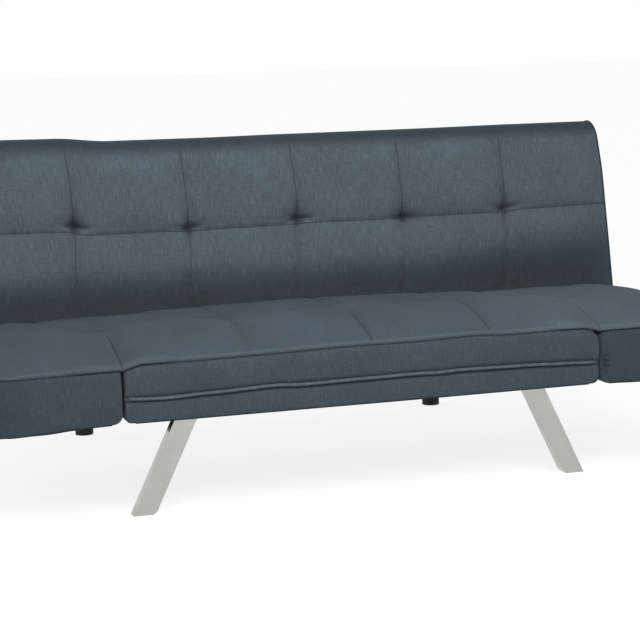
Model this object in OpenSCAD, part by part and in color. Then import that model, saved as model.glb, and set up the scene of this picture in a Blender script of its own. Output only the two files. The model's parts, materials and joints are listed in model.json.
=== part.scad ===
// Click-clack sofa bed: a centre seat, two end sections that fold up into arms,
// and a full-width backrest that drops flat behind the seat.
// X runs along the sofa, Y from front to rear, Z up. The floor is Z = 0, and the
// origin is the middle of the sofa's footprint at rest.

/* [Widths] */
// Width of the centre seat
centre_w = 1114; // [1000:2:1300]
// Width of each folding end section
arm_w = 277; // [240:1:320]
// Slot between the centre seat and an end section, where the hinges sit
section_gap = 6; // [6:0.5:12]

/* [Seat] */
// Front to rear size of the seat
seat_d = 497; // [440:1:560]
// Height of the seat's underside above the floor
underside_z = 219; // [180:1:260]
// Height of the front top seam above the underside
front_seam_h = 129; // [122:1:150]
// Height of the rear top edge above the underside
rear_edge_h = 158; // [140:1:165]
// Height of the crown of the centre seat's front panels above the underside
front_crown_h = 184; // [170:1:195]
// Height of the crown of its rear panels above the underside
seat_crown_h = 174; // [160:1:185]
// Height of the valley between them above the underside
tuft_valley_h = 168; // [150:1:172]
// Distance from the seat's front to that valley and its tufts
tuft_row = 260; // [220:1:290]
// Horizontal run of the slopes down into the valley
valley_run = 55; // [30:1:70]
// Distance between two tufts
tuft_pitch = 289; // [240:1:320]
// Distance from the seat's middle to its middle tuft
tuft_shift = 9; // [-20:1:20]
// Depth of a tuft below the valley
tuft_depth = 12; // [6:1:16]
// Radius of a tuft where it meets the valley
tuft_r = 18; // [10:1:30]
// Height of an end section's crown above the underside
arm_crown_h = 177; // [160:1:185]
// Height of the hinge valley above the underside
valley_h = 117; // [110:1:122]
// Horizontal run of the slopes at front and rear
border_run = 60; // [50:1:80]
// Horizontal run of the slopes beside the slots and at the outer ends
fold_run = 85; // [78:1:100]
// Plan radius of the outer corners of an end section
arm_corner_r = 70; // [40:1:100]
// Thickness of the fabric with its fibre lining
cover_t = 3; // [2:0.5:5]
// Thickness of the dust covers
dust_t = 1; // [0.5:0.5:2]
// Radius of the welt along the centre front
welt_r = 3; // [2:0.5:5]
// Height of that welt above the underside
welt_h = 54; // [40:1:100]

/* [Seat frame] */
// Thickness of the wooden boards
board_t = 22; // [18:1:26]
// Height of the wooden boards
board_h = 70; // [60:1:78]
// Width of a side board's flat underside next to its rounded lower edge
corner_land = 3; // [2:0.5:6]
// Distance from the seat's front to the cross board
cross_board_y = 154; // [120:1:240]
// Thickness of an end section's plywood deck
deck_t = 12; // [9:1:18]
// Width of a webbing strap
strap_w = 60; // [40:1:70]
// Thickness of a webbing strap
strap_t = 2; // [1:0.5:3]
// Number of straps across the seat
seat_straps = 8; // [5:1:10]
// Number of straps across the backrest
back_straps = 12; // [8:1:14]

/* [Front legs] */
// Width of a front leg, seen from the front
leg_w = 51; // [40:1:60]
// Front to rear size of a front leg
leg_d = 28; // [22:1:34]
// Wall of the front leg tube
leg_wall = 2; // [1.5:0.5:3]
// Sideways run of a front leg from its top to its foot
leg_splay = 103; // [60:1:120]
// Distance from the seat's side to the inner edge of a leg's top
leg_inset = 171; // [165:1:200]
// Distance from the seat's front to a front leg
leg_set_back = 43; // [34:1:50]
// Chamfer of the foot's inner corner
foot_chamfer = 6; // [2:1:10]
// Length of the mounting plate along the sofa
plate_l = 104; // [98:1:116]
// Front to rear size of the mounting plate
plate_d = 62; // [54:1:80]
// Thickness of the mounting plate
plate_t = 4; // [3:0.5:6]
// How far the plate's middle lies behind the leg's
plate_shift = 6; // [4:0.5:8]
// Distance from the plate's ends to its bolts
plate_bolt_edge = 9; // [8:0.5:10]
// Distance from the plate's middle to its front bolts
leg_bolt_front = 12; // [8:1:16]
// Distance from the plate's middle to its rear bolts
leg_bolt_rear = 20; // [16:1:20]
// Height of the wooden block over the plate
leg_block_h = 40; // [37:1:50]

/* [Base frame] */
// Outer size of the square base tube
tube = 30; // [25:1:36]
// Wall of the base tube
tube_wall = 2; // [1.5:0.5:3]
// Distance from the seat's side to the middle of a base rail
rail_inset = 71; // [65:1:90]
// Distance from the seat's front to the rails' front end
rail_front = 150; // [110:1:152]
// Distance from the seat's rear edge to the rear cross tube
cross_tube_behind = 323; // [260:1:345]
// Radius of the rubber buffers on the rails
buffer_r = 12; // [8:0.5:12.5]
// Height of the rubber buffers on the rails
buffer_h = 5.5; // [3:0.5:5.5]

/* [Rear legs] */
// Outer diameter of a rear leg
rear_leg_d = 42; // [34:1:46]
// Distance from the seat's rear edge to a rear leg
rear_leg_behind = 415; // [400:1:450]
// Height of the rubber foot
rear_foot_h = 26; // [20:1:40]
// Wall of the rubber foot
rear_foot_wall = 2.5; // [2:0.5:4]

/* [Backrest] */
// Backward tilt of the backrest
back_tilt = 12.5; // [6:0.5:16]
// Distance from the seat's rear edge to the backrest pivot
pivot_behind = 86; // [86:1:100]
// Height of the pivot above the seat's underside
pivot_h = 66; // [66:1:75]
// Distance from the pivot to the backrest's face
back_face = 85; // [78:1:86]
// Distance from the pivot to the backrest's rear side
back_rear = 60; // [55:1:60]
// Length of the backrest below the pivot
back_below = 60; // [55:1:60]
// Length of the backrest above the pivot
back_above = 504; // [440:1:560]
// Radius of the backrest's top edge
back_top_r = 70; // [60:1:72]
// Radius of the lower edge of the face
back_toe_r = 100; // [95:1:110]
// Radius of the lower edge of the rear side
back_heel_r = 50; // [50:1:54]
// Radius of the backrest's outer corners, seen from the front
back_corner_r = 28; // [10:1:60]
// Foam between the ends of the backrest and its wooden frame
back_end_foam = 35; // [30:1:60]
// Depth of the backrest's wooden frame
back_frame_d = 65; // [55:1:70]
// Distance from the pivot up to the backrest's bottom board
back_board_z = 25; // [25:1:40]
// Distance from the backrest's top down to its top board
top_board_drop = 72; // [72:1:100]

/* [Click-clack mechanism] */
// Thickness of the mechanism's steel plates
mech_t = 5; // [4:0.5:6]
// Width of the seat plate and of the backrest arm
mech_w = 36; // [30:1:36]
// Distance from the seat's rear edge forward to the front end of the seat plate
mech_reach = 97; // [90:1:120]
// Height of that end above the seat's underside
mech_front_h = 35; // [30:1:40]
// Length of the backrest arm above the pivot
back_arm_l = 240; // [200:1:300]
// Radius of the toothed disc
ratchet_r = 24; // [22:0.5:24]
// Number of ratchet notches
ratchet_notches = 9; // [5:1:9]
// Distance between the pivot and the pawl's stud
pawl_reach = 45; // [40:1:50]
// Thickness of the pawl's nose
pawl_nose = 6; // [4:1:8]
// Radius of the pivot bolt
pivot_r = 6; // [5:0.5:7]
// Radius of the pawl's stud
stud_r = 4; // [3:0.5:4.5]
// Clearance between the ratchet's rim and the pawl's nose
pawl_clear = 0.8; // [0.5:0.1:1.5]
// Radius of the pawl spring's wire
spring_wire_r = 0.6; // [0.5:0.05:0.8]
// Number of coils of the pawl spring
spring_coils = 4; // [3:1:5]
// Radius of a ratchet notch
notch_r = 2.2; // [1.5:0.1:2.4]
// Angle between two ratchet notches
notch_step = 12; // [12:0.5:14]

/* [Arm hinges] */
// Thickness of a hinge leaf
leaf_t = 2.5; // [2:0.25:2.5]
// Height of a hinge leaf below its knuckle
leaf_h = 90; // [80:1:100]
// Length of a hinge
hinge_l = 70; // [50:1:90]
// Distance from the seat's front and rear to the hinges
hinge_inset = 60; // [45:1:80]
// Outer radius of the hinge knuckle
knuckle_r = 6; // [5:0.5:7]
// Radius of the hinge pin
hinge_pin_r = 2.5; // [2:0.25:3]

/* [Fasteners] */
// Radius of the frame bolts
frame_bolt_r = 4; // [3:0.5:5]
// Radius of a bolt's head
bolt_head_r = 7; // [6:0.5:7.5]
// Height of a bolt's head
bolt_head_t = 4; // [3:0.5:5]
// Height of a nut
nut_t = 5; // [4:0.5:6]
// Width of the pivot bolt's head beyond its shank
pivot_head_rim = 4; // [3:0.5:4]
// How deep a rail bolt reaches into the seat frame
rail_bolt_bite = 40; // [30:1:50]
// How deep a leg bolt reaches into its block
leg_bolt_bite = 32; // [20:1:36]
// Distance between the bolts of a seat plate
side_bolt_pitch = 45; // [35:1:55]
// Distance from the end of a backrest arm to its upper bolt
back_bolt_end = 25; // [20:1:40]
// Distance between the bolts of a backrest arm
back_bolt_pitch = 65; // [50:1:80]
// Radius of the hinge screws
screw_r = 2; // [1.5:0.25:2.5]
// Length of the hinge screws
screw_l = 18; // [14:1:20]
// Radius of a screw's head
screw_head_r = 4; // [3.5:0.25:4.5]
// Distance from a hinge leaf's end to its screws
screw_end = 15; // [10:1:20]
// Distance from the boards' lower edge to the lower screws
screw_rise = 30; // [24:1:36]
// Distance from the boards' upper edge to the upper screws
screw_drop = 14; // [10:1:20]

/* [Fits] */
// Clearance between pieces that lie side by side
gap = 0.3; // [0.2:0.1:0.6]
// Radial clearance of a turning pin in its bore
running_fit = 0.05; // [0.02:0.01:0.1]
// Radial clearance of a bolt in its hole
bolt_fit = 0.3; // [0.2:0.1:0.5]
// Room left around the moving mechanism inside the soft parts
slot_room = 1; // [0.5:0.5:2]

/* [Hidden] */
$fn = 64;

steel = "#2b2c2e";
chrome = "#c6c8c6";
fabric = "#535d67";
foam = "#e9e3cf";
wood = "#c9a877";
rubber = "#1c1c1d";
black_cloth = "#26282a";
zinc = "#a5a8ab";

hex_sides = 6;
wire_sides = 24;
tuft_spread = 3;

// Places along Y
rear_leg_y = seat_d + rear_leg_behind;
cross_tube_y = seat_d + cross_tube_behind;
pivot_set_back = seat_d + pivot_behind;
mech_front = seat_d - mech_reach;
rear_reach = rear_leg_y + rear_leg_d / 2 + rear_foot_wall;
front = -(rear_reach - 2 * welt_r) / 2;
seat_rear = front + seat_d;
tuft_y = front + tuft_row;
pivot_y = front + pivot_set_back;

// Places along X
centre_half = centre_w / 2;
arm_inner_x = centre_half + section_gap;
sofa_half = arm_inner_x + arm_w;
hinge_x = centre_half + section_gap / 2;
rail_x = centre_half - rail_inset;
leg_top_x = centre_half - leg_inset;
seat_frame_half = centre_half - cover_t - gap;
plate_outer_x = seat_frame_half - board_t;
board_inset = cover_t + gap;
under_corner_r = board_inset + board_t - corner_land;
plane_reach = 1.2;
plate_inner_x = plate_outer_x - mech_t;
back_arm_outer_x = plate_inner_x - gap;
back_arm_inner_x = back_arm_outer_x - mech_t;
back_frame_half = sofa_half - back_end_foam;

// Heights
board_z = underside_z + dust_t;
board_top = board_z + board_h;
seat_foam_z = board_top + strap_t;
arm_foam_z = board_top + deck_t;
hinge_z = underside_z + valley_h;
tuft_valley_z = underside_z + tuft_valley_h;
pivot_z = underside_z + pivot_h;
rail_z = underside_z - tube;
leg_h = underside_z - plate_t;

// Backrest frame, measured from the pivot along and across the backrest
back_frame_front = -(back_frame_d - back_rear + cover_t);
back_frame_rear = back_rear - cover_t;
top_board_z = back_above - top_board_drop - board_t;

// Mechanism
plate_dy = pivot_set_back - mech_front;
plate_dz = pivot_h - mech_front_h;
plate_slope = atan2(plate_dz, plate_dy);
plate_l0 = norm([plate_dy, plate_dz]);
spring_pitch = 1.8 * spring_wire_r;
spring_l = spring_pitch * (spring_coils - 1) + 2 * spring_wire_r;
arm_offset = 6;
arm_rear = mech_w - arm_offset;
knuckle_gap = 0.5;
knuckle_share = (hinge_l - 2 * knuckle_gap) / 3;
hinge_ys = [front + hinge_inset, seat_rear - hinge_inset - hinge_l];

// ---- Shared shapes ----

module box_between(low, high) {
    translate(low)
        cube(high - low);
}

// A solid from an outline drawn in Y and Z, centred on X
module along_x(width) {
    rotate([90, 0, 90])
        linear_extrude(width, center = true)
            children();
}

// A solid from an outline drawn in X and Z, reaching from y0 to y1
module along_y(y0, y1) {
    translate([0, y1, 0])
        rotate([90, 0, 0])
            linear_extrude(y1 - y0)
                children();
}

module rod_x(r, x0, x1) {
    translate([x0, 0, 0])
        rotate([0, 90, 0])
            cylinder(r = r, h = x1 - x0);
}

module rod_y(r, y0, y1) {
    translate([0, y0, 0])
        rotate([-90, 0, 0])
            cylinder(r = r, h = y1 - y0);
}

// What is cut off to round one corner of an outline; turn is 0 to 3 from the low corner
module corner_cut(corner, r, turn) {
    translate(corner)
        rotate(90 * turn)
            difference() {
                translate([-1, -1])
                    square(r + 1);
                translate([r, r])
                    circle(r);
            }
}

// A rectangle with its four corners rounded, starting at the low corner and going round
module rounded_rect(low, high, radii) {
    difference() {
        translate(low)
            square(high - low);
        corner_cut(low, radii[0], 0);
        corner_cut([high[0], low[1]], radii[1], 1);
        corner_cut(high, radii[2], 2);
        corner_cut([low[0], high[1]], radii[3], 3);
    }
}

// Pad outline: upright sides to the shoulders, then a slope in to the crown
module pad_outline(low, high, bottom, shoulder, crown, run) {
    polygon([
        [low, bottom], [high, bottom], [high, shoulder],
        [high - run, crown], [low + run, crown], [low, shoulder]
    ]);
}

module mirrored() {
    children();
    mirror([1, 0, 0])
        children();
}

module square_tube(size, wall, length) {
    difference() {
        translate([-size / 2, -length / 2, 0])
            cube([size, length, size]);
        translate([wall - size / 2, -length / 2 - 1, wall])
            cube([size - 2 * wall, length + 2, size - 2 * wall]);
    }
}

// ---- Centre seat ----

// What is cut off an outline to round a lower corner beside a slot; the origin is the cover's corner
module under_corner(inset) {
    difference() {
        translate([-1, -2])
            square([under_corner_r + 1, under_corner_r + 2]);
        translate([under_corner_r, under_corner_r])
            circle(under_corner_r - inset);
    }
}

module seat_under_corners(inset) {
    mirrored()
        translate([-centre_half, underside_z])
            under_corner(inset);
}

// The same corner of a board, planed off in two flats that stay inside the cover's round
module board_corner() {
    near = under_corner_r - (under_corner_r - board_inset) / sqrt(2);
    far = near + plane_reach * (under_corner_r - near);
    end = near + plane_reach * (board_inset - near);
    polygon([[0, 0], [under_corner_r + gap, 0], [under_corner_r + gap, board_inset],
        [under_corner_r, board_inset], [near, near], [end, far], [0, far]]);
}

module seat_board_corners() {
    mirrored()
        translate([-centre_half, underside_z])
            board_corner();
}

module board_outline(x0, x1) {
    translate([x0, board_z])
        square([x1 - x0, board_h]);
}

// Outline of the seat in Y and Z: front panels, the valley with the tufts, rear panels
module seat_outline(inset, bottom) {
    low_y = front + inset;
    high_y = seat_rear - inset;
    polygon([
        [low_y, bottom], [high_y, bottom], [high_y, underside_z + rear_edge_h - inset],
        [high_y - border_run, underside_z + seat_crown_h - inset],
        [tuft_y + valley_run, underside_z + seat_crown_h - inset],
        [tuft_y, tuft_valley_z - inset],
        [tuft_y - valley_run, underside_z + front_crown_h - inset],
        [low_y + border_run, underside_z + front_crown_h - inset], [low_y, underside_z + front_seam_h - inset]
    ]);
}

// The dimples that the tufts pull into the valley
module seat_tufts(inset) {
    for (i = [-1 : 1])
        translate([tuft_shift + i * tuft_pitch, tuft_y, tuft_valley_z - tuft_depth - inset])
            cylinder(r1 = 0, r2 = tuft_spread * tuft_r, h = tuft_spread * tuft_depth);
}

module seat_pad(inset, bottom) {
    shoulder = underside_z + valley_h - inset;
    difference() {
        intersection() {
            along_y(front + inset, seat_rear - inset)
                difference() {
                    pad_outline(-centre_half + inset, centre_half - inset, bottom, shoulder,
                        underside_z + front_crown_h - inset, fold_run);
                    seat_under_corners(inset);
                }
            along_x(centre_w)
                seat_outline(inset, bottom);
        }
        seat_tufts(inset);
    }
}

// Room for the hinge knuckles along both valleys
module knuckle_room() {
    for (y = hinge_ys)
        mirrored()
            translate([hinge_x, 0, hinge_z])
                rod_y(knuckle_r + slot_room, y - slot_room, y + hinge_l + slot_room);
}

// Room for the seat plates of the click-clack mechanism through the seat's rear
module plate_room(clearance) {
    mirrored()
        translate([plate_inner_x - clearance, 0, 0])
            plate_bar(mech_w / 2 + clearance, mech_t + 2 * clearance);
}

module seat_cover() {
    color(fabric)
    difference() {
        seat_pad(0, underside_z);
        seat_pad(cover_t, underside_z - 1);
        knuckle_room();
        plate_room(gap);
        leaf_screws(screw_r + bolt_fit, screw_r + bolt_fit);
    }
}

module seat_foam() {
    color(foam)
    difference() {
        seat_pad(cover_t + gap, seat_foam_z);
        knuckle_room();
    }
}

module seat_welt() {
    color(fabric)
    translate([0, front - welt_r, underside_z + welt_h])
        rod_x(welt_r, -centre_half + gap, centre_half - gap);
}

dust_half = centre_half - under_corner_r - gap;

module seat_dust_cover() {
    color(black_cloth)
    difference() {
        box_between([-dust_half, front + cover_t + gap, underside_z],
            [dust_half, seat_rear - cover_t - gap, board_z]);
        frame_bolt_holes();
    }
}

seat_board_front = front + cover_t + gap;
seat_board_rear = seat_rear - cover_t - gap;

module seat_front_board() {
    color(wood)
    along_y(seat_board_front, seat_board_front + board_t)
        difference() {
            board_outline(-seat_frame_half, seat_frame_half);
            seat_board_corners();
        }
}

module seat_rear_board() {
    color(wood)
    difference() {
        box_between([-plate_inner_x + gap, seat_board_rear - board_t, board_z],
            [plate_inner_x - gap, seat_board_rear, board_top]);
        frame_bolt_holes();
    }
}

module seat_cross_board() {
    color(wood)
    difference() {
        box_between([-plate_outer_x, front + cross_board_y, board_z],
            [plate_outer_x, front + cross_board_y + board_t, board_top]);
        frame_bolt_holes();
    }
}

module seat_side_board() {
    color(wood)
    difference() {
        along_y(seat_board_front + board_t, seat_board_rear)
            difference() {
                board_outline(plate_outer_x, seat_frame_half);
                seat_board_corners();
            }
        frame_bolt_holes();
        leaf_screws(screw_r + gap, screw_r + gap);
    }
}

module seat_right_board() {
    seat_side_board();
}

module seat_left_board() {
    mirror([1, 0, 0])
        seat_side_board();
}

module leg_blocks() {
    color(wood)
    mirrored()
        difference() {
            box_between([leg_plate_x - plate_l / 2, seat_board_front + board_t, board_z],
                [leg_plate_x + plate_l / 2, leg_plate_y + plate_d / 2, board_z + leg_block_h]);
            frame_bolt_holes();
        }
}

module seat_webbing() {
    pitch = 2 * plate_inner_x / seat_straps;
    color(black_cloth)
    for (i = [0 : seat_straps - 1])
        translate([(i - (seat_straps - 1) / 2) * pitch, 0, 0])
            box_between([-strap_w / 2, seat_board_front, board_top],
                [strap_w / 2, seat_board_rear, seat_foam_z]);
}

// ---- Base frame and legs ----

leg_plate_x = leg_top_x + leg_w / 2;
leg_plate_y = front + leg_set_back + leg_d / 2 + plate_shift;
plate_bolt_x = plate_l / 2 - plate_bolt_edge;
leg_bolt_ys = [leg_plate_y - leg_bolt_front, leg_plate_y + leg_bolt_rear];

function leg_outline(inset) = [
    [leg_top_x + inset, leg_h + (inset > 0 ? -inset : 0)],
    [leg_top_x + leg_w - inset, leg_h + (inset > 0 ? -inset : 0)],
    [leg_top_x + leg_w + leg_splay - inset, inset],
    [leg_top_x + leg_splay + foot_chamfer + inset, inset],
    [leg_top_x + leg_splay - foot_chamfer / 2 + inset, foot_chamfer + inset]
];

module front_leg() {
    leg_y = front + leg_set_back;
    color(chrome)
    difference() {
        union() {
            along_y(leg_y, leg_y + leg_d)
                polygon(leg_outline(0));
            translate([leg_plate_x - plate_l / 2, leg_plate_y - plate_d / 2, leg_h])
                cube([plate_l, plate_d, plate_t]);
        }
        along_y(leg_y + leg_wall, leg_y + leg_d - leg_wall)
            polygon(leg_outline(leg_wall));
        frame_bolt_holes();
    }
}

module front_leg_right() {
    front_leg();
}

module front_leg_left() {
    mirror([1, 0, 0])
        front_leg();
}

module base_rail() {
    length = rear_leg_y + rear_leg_d / 2 - rail_front;
    color(steel)
    difference() {
        translate([rail_x, front + rail_front + length / 2, rail_z])
            square_tube(tube, tube_wall, length);
        frame_bolt_holes();
        translate([rail_x, front + rear_leg_y, rail_z - 1])
            cylinder(r = frame_bolt_r + bolt_fit, h = tube_wall + 2);
    }
}

module base_rail_right() {
    base_rail();
}

module base_rail_left() {
    mirror([1, 0, 0])
        base_rail();
}

module rear_cross_tube() {
    color(steel)
    translate([0, front + cross_tube_y + tube / 2, rail_z])
        rotate(90)
            square_tube(tube, tube_wall, 2 * rail_x - tube);
}

module rail_buffers() {
    color(rubber)
    mirrored()
        translate([rail_x, front + cross_tube_y + tube / 2, underside_z])
            cylinder(r = buffer_r, h = buffer_h);
}

module rear_leg() {
    r = rear_leg_d / 2;
    color(chrome)
    translate([rail_x, front + rear_leg_y, 0])
        difference() {
            union() {
                translate([0, 0, rear_foot_wall])
                    cylinder(r = r, h = rail_z - rear_foot_wall);
                translate([0, 0, rail_z])
                    cylinder(r = frame_bolt_r, h = tube - 2 * tube_wall);
            }
            translate([0, 0, rear_foot_wall - 1])
                cylinder(r = r - tube_wall, h = rail_z - rear_foot_wall - tube_wall + 1);
        }
}

module rear_leg_right() {
    rear_leg();
}

module rear_leg_left() {
    mirror([1, 0, 0])
        rear_leg();
}

module rear_foot() {
    r = rear_leg_d / 2;
    color(rubber)
    translate([rail_x, front + rear_leg_y, 0])
        difference() {
            cylinder(r = r + rear_foot_wall, h = rear_foot_h);
            translate([0, 0, rear_foot_wall])
                cylinder(r = r + running_fit, h = rear_foot_h);
        }
}

module rear_foot_right() {
    rear_foot();
}

module rear_foot_left() {
    mirror([1, 0, 0])
        rear_foot();
}

// Bolts that point up: places, the height of the head's top, and the length
rail_bolt_ys = [cross_board_y + board_t / 2, seat_board_rear - board_t / 2 - front];
upright_bolts = concat(
    [for (y = rail_bolt_ys) [[rail_x, front + y, rail_z], tube + rail_bolt_bite]],
    [for (x = [-plate_bolt_x, plate_bolt_x], y = leg_bolt_ys)
        [[leg_plate_x + x, y, leg_h], plate_t + leg_bolt_bite]]
);
side_bolt_ys = [mech_front, mech_front + side_bolt_pitch];

function plate_height(y) = underside_z + mech_front_h + (y - mech_front) * plate_dz / plate_dy;

module frame_bolt_shanks(r, extra) {
    mirrored() {
        for (bolt = upright_bolts)
            translate(bolt[0] - [0, 0, extra])
                cylinder(r = r, h = bolt[1] + 2 * extra);
        for (y = side_bolt_ys)
            translate([0, front + y, plate_height(y)])
                rod_x(r, plate_inner_x - extra, seat_frame_half - gap);
    }
}

module frame_bolt_holes() {
    frame_bolt_shanks(frame_bolt_r + bolt_fit, 1);
}

module frame_bolts() {
    color(zinc) {
        frame_bolt_shanks(frame_bolt_r, 0);
        mirrored() {
            for (bolt = upright_bolts)
                translate(bolt[0] - [0, 0, bolt_head_t])
                    cylinder(r = bolt_head_r, h = bolt_head_t);
            for (y = side_bolt_ys)
                translate([0, front + y, plate_height(y)])
                    rod_x(bolt_head_r, plate_inner_x - bolt_head_t, plate_inner_x);
            translate([rail_x, front + rear_leg_y, rail_z + tube_wall])
                difference() {
                    cylinder(r = bolt_head_r, h = nut_t, $fn = hex_sides);
                    translate([0, 0, -1])
                        cylinder(r = frame_bolt_r + running_fit, h = nut_t + 2);
                }
        }
    }
}

// ---- Click-clack mechanism ----

// Straight bar with round ends from the side board to the pivot, lying from X = 0 to thickness
module plate_bar(r, thickness) {
    translate([0, pivot_y, pivot_z])
        rotate([plate_slope, 0, 0]) {
            rod_x(r, 0, thickness);
            translate([0, -plate_l0, 0])
                rod_x(r, 0, thickness);
            translate([0, -plate_l0, -r])
                cube([thickness, plate_l0, 2 * r]);
        }
}

pawl_y = pivot_y - pawl_reach * cos(plate_slope);
pawl_z = pivot_z - pawl_reach * sin(plate_slope);
stud_end_x = back_arm_inner_x - spring_l - gap;

module seat_plate() {
    color(steel)
    difference() {
        union() {
            translate([plate_inner_x, 0, 0])
                plate_bar(mech_w / 2, mech_t);
            translate([0, pawl_y, pawl_z])
                rod_x(stud_r, stud_end_x, plate_inner_x + 1);
        }
        translate([0, pivot_y, pivot_z])
            rod_x(pivot_r + running_fit, plate_inner_x - 1, plate_outer_x + 1);
        frame_bolt_holes();
    }
}

module seat_plate_right() {
    seat_plate();
}

module seat_plate_left() {
    mirror([1, 0, 0])
        seat_plate();
}

module pivot_bolts() {
    color(zinc)
    mirrored()
        translate([0, pivot_y, pivot_z]) {
            rod_x(pivot_r, back_arm_inner_x - gap, plate_outer_x);
            rod_x(pivot_r + pivot_head_rim, plate_outer_x, plate_outer_x + bolt_head_t);
            rod_x(pivot_r + pivot_head_rim, back_arm_inner_x - gap - nut_t, back_arm_inner_x - gap);
        }
}

module pawl() {
    nose_l = pawl_reach - ratchet_r - pawl_clear;
    color(zinc)
    translate([0, pawl_y, pawl_z])
        rotate([plate_slope, 0, 0])
            difference() {
                union() {
                    rod_x(2 * stud_r, back_arm_inner_x, back_arm_outer_x);
                    translate([back_arm_inner_x, 0, -pawl_nose / 2])
                        cube([mech_t, nose_l, pawl_nose]);
                }
                rod_x(stud_r + running_fit, back_arm_inner_x - 1, back_arm_outer_x + 1);
            }
}

module pawl_right() {
    pawl();
}

module pawl_left() {
    mirror([1, 0, 0])
        pawl();
}

module pawl_springs() {
    color(zinc)
    mirrored()
        translate([back_arm_inner_x - gap - spring_wire_r, pawl_y, pawl_z])
            rotate([0, -90, 0])
                for (i = [0 : spring_coils - 1])
                    translate([0, 0, i * spring_pitch])
                        rotate_extrude()
                            translate([stud_r + spring_wire_r + gap, 0])
                                circle(spring_wire_r, $fn = wire_sides);
}

// ---- Backrest: Z runs up along it and the face looks towards -Y, from the pivot ----

module at_back() {
    translate([0, pivot_y, pivot_z])
        rotate([-back_tilt, 0, 0])
            children();
}

module back_pad(inset) {
    low = [-back_face + inset, -back_below + inset];
    high = [back_rear - inset, back_above - inset];
    corner = back_corner_r;
    intersection() {
        along_x(2 * (sofa_half - inset))
            rounded_rect(low, high,
                [back_toe_r - inset, back_heel_r - inset, back_top_r - inset, back_top_r - inset]);
        along_y(-back_face, back_rear)
            rounded_rect([-sofa_half + inset, -back_below + inset], [sofa_half - inset, back_above - inset],
                [corner, corner, corner, corner]);
    }
}

// Slots in the toe of the backrest that let the seat plates and pawls pass
module mechanism_slots() {
    mirrored()
        box_between(
            [back_arm_inner_x - gap - max(nut_t, spring_l) - slot_room, -back_face - slot_room, -back_below - slot_room],
            [plate_outer_x + bolt_head_t + slot_room, arm_rear + slot_room, back_board_z]);
}

panel_rim = 5;
back_opening_low = [-back_frame_half - panel_rim, back_frame_rear, back_board_z - panel_rim];
back_opening_high = [back_frame_half + panel_rim, back_rear + 1, back_above - back_top_r - panel_rim];

module back_cover() {
    color(fabric)
    at_back()
        difference() {
            back_pad(0);
            back_pad(cover_t);
            mechanism_slots();
            translate([0, -1, 0])
                box_between(back_opening_low, back_opening_high + [0, 1, 0]);
        }
}

module back_foam() {
    color(foam)
    at_back()
        difference() {
            back_pad(cover_t + gap);
            box_between([-back_frame_half - gap, back_frame_front - strap_t, back_board_z - gap],
                [back_frame_half + gap, back_rear, top_board_z + board_t + gap]);
            mechanism_slots();
        }
}

module back_rear_panel() {
    color(fabric)
    at_back()
        box_between(back_opening_low + [gap, 0, gap], back_opening_high - [gap, 1, gap]);
}

module back_bottom_board() {
    color(wood)
    at_back()
        difference() {
            box_between([-back_frame_half, back_frame_front, back_board_z],
                [back_frame_half, back_frame_rear, back_board_z + board_t]);
            mirrored()
                box_between([back_arm_inner_x - gap, back_frame_front - 1, back_board_z - 1],
                    [back_arm_outer_x + gap, arm_rear + gap, back_board_z + board_t + 1]);
        }
}

module back_top_board() {
    color(wood)
    at_back()
        box_between([-back_frame_half, back_frame_front, top_board_z],
            [back_frame_half, back_frame_rear, top_board_z + board_t]);
}

module back_stile(outer_x) {
    box_between([outer_x - board_t, back_frame_front, back_board_z + board_t],
        [outer_x, back_frame_rear, top_board_z]);
}

module back_outer_stile_right() {
    color(wood)
    at_back()
        back_stile(back_frame_half);
}

module back_outer_stile_left() {
    mirror([1, 0, 0])
        back_outer_stile_right();
}

module back_inner_stile_right() {
    color(wood)
    at_back()
        difference() {
            back_stile(back_arm_inner_x);
            back_arm_bolt_shanks(frame_bolt_r + bolt_fit);
        }
}

module back_inner_stile_left() {
    mirror([1, 0, 0])
        back_inner_stile_right();
}

module back_webbing() {
    pitch = 2 * back_frame_half / back_straps;
    color(black_cloth)
    at_back()
        for (i = [0 : back_straps - 1])
            translate([(i - (back_straps - 1) / 2) * pitch, 0, 0])
                box_between([-strap_w / 2, back_frame_front - strap_t, back_board_z],
                    [strap_w / 2, back_frame_front, top_board_z + board_t]);
}

back_bolt_zs = [back_arm_l - back_bolt_end - back_bolt_pitch, back_arm_l - back_bolt_end];
back_bolt_y = mech_w / 2 - arm_offset;

module back_arm_bolt_shanks(r) {
    for (z = back_bolt_zs)
        translate([0, back_bolt_y, z])
            rod_x(r, back_arm_inner_x - board_t - 1, back_arm_outer_x + 1);
}

module back_arm_bolts() {
    color(zinc)
    mirrored()
        at_back()
            for (z = back_bolt_zs)
                translate([0, back_bolt_y, z]) {
                    rod_x(frame_bolt_r, back_arm_inner_x - board_t, back_arm_outer_x);
                    rod_x(bolt_head_r, back_arm_outer_x, back_arm_outer_x + bolt_head_t);
                }
}

module back_arm() {
    color(steel)
    at_back()
        difference() {
            union() {
                rod_x(ratchet_r, back_arm_inner_x, back_arm_outer_x);
                box_between([back_arm_inner_x, -arm_offset, 0], [back_arm_outer_x, arm_rear, back_arm_l]);
            }
            rod_x(pivot_r + running_fit, back_arm_inner_x - 1, back_arm_outer_x + 1);
            for (i = [0 : ratchet_notches - 1])
                rotate([back_tilt + plate_slope + i * notch_step, 0, 0])
                    translate([0, -ratchet_r, 0])
                        rod_x(notch_r, back_arm_inner_x - 1, back_arm_outer_x + 1);
            back_arm_bolt_shanks(frame_bolt_r + bolt_fit);
        }
}

module back_arm_right() {
    back_arm();
}

module back_arm_left() {
    mirror([1, 0, 0])
        back_arm();
}

// ---- Arm hinges: knuckles on the valley line, leaves hanging in the slot ----

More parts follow.
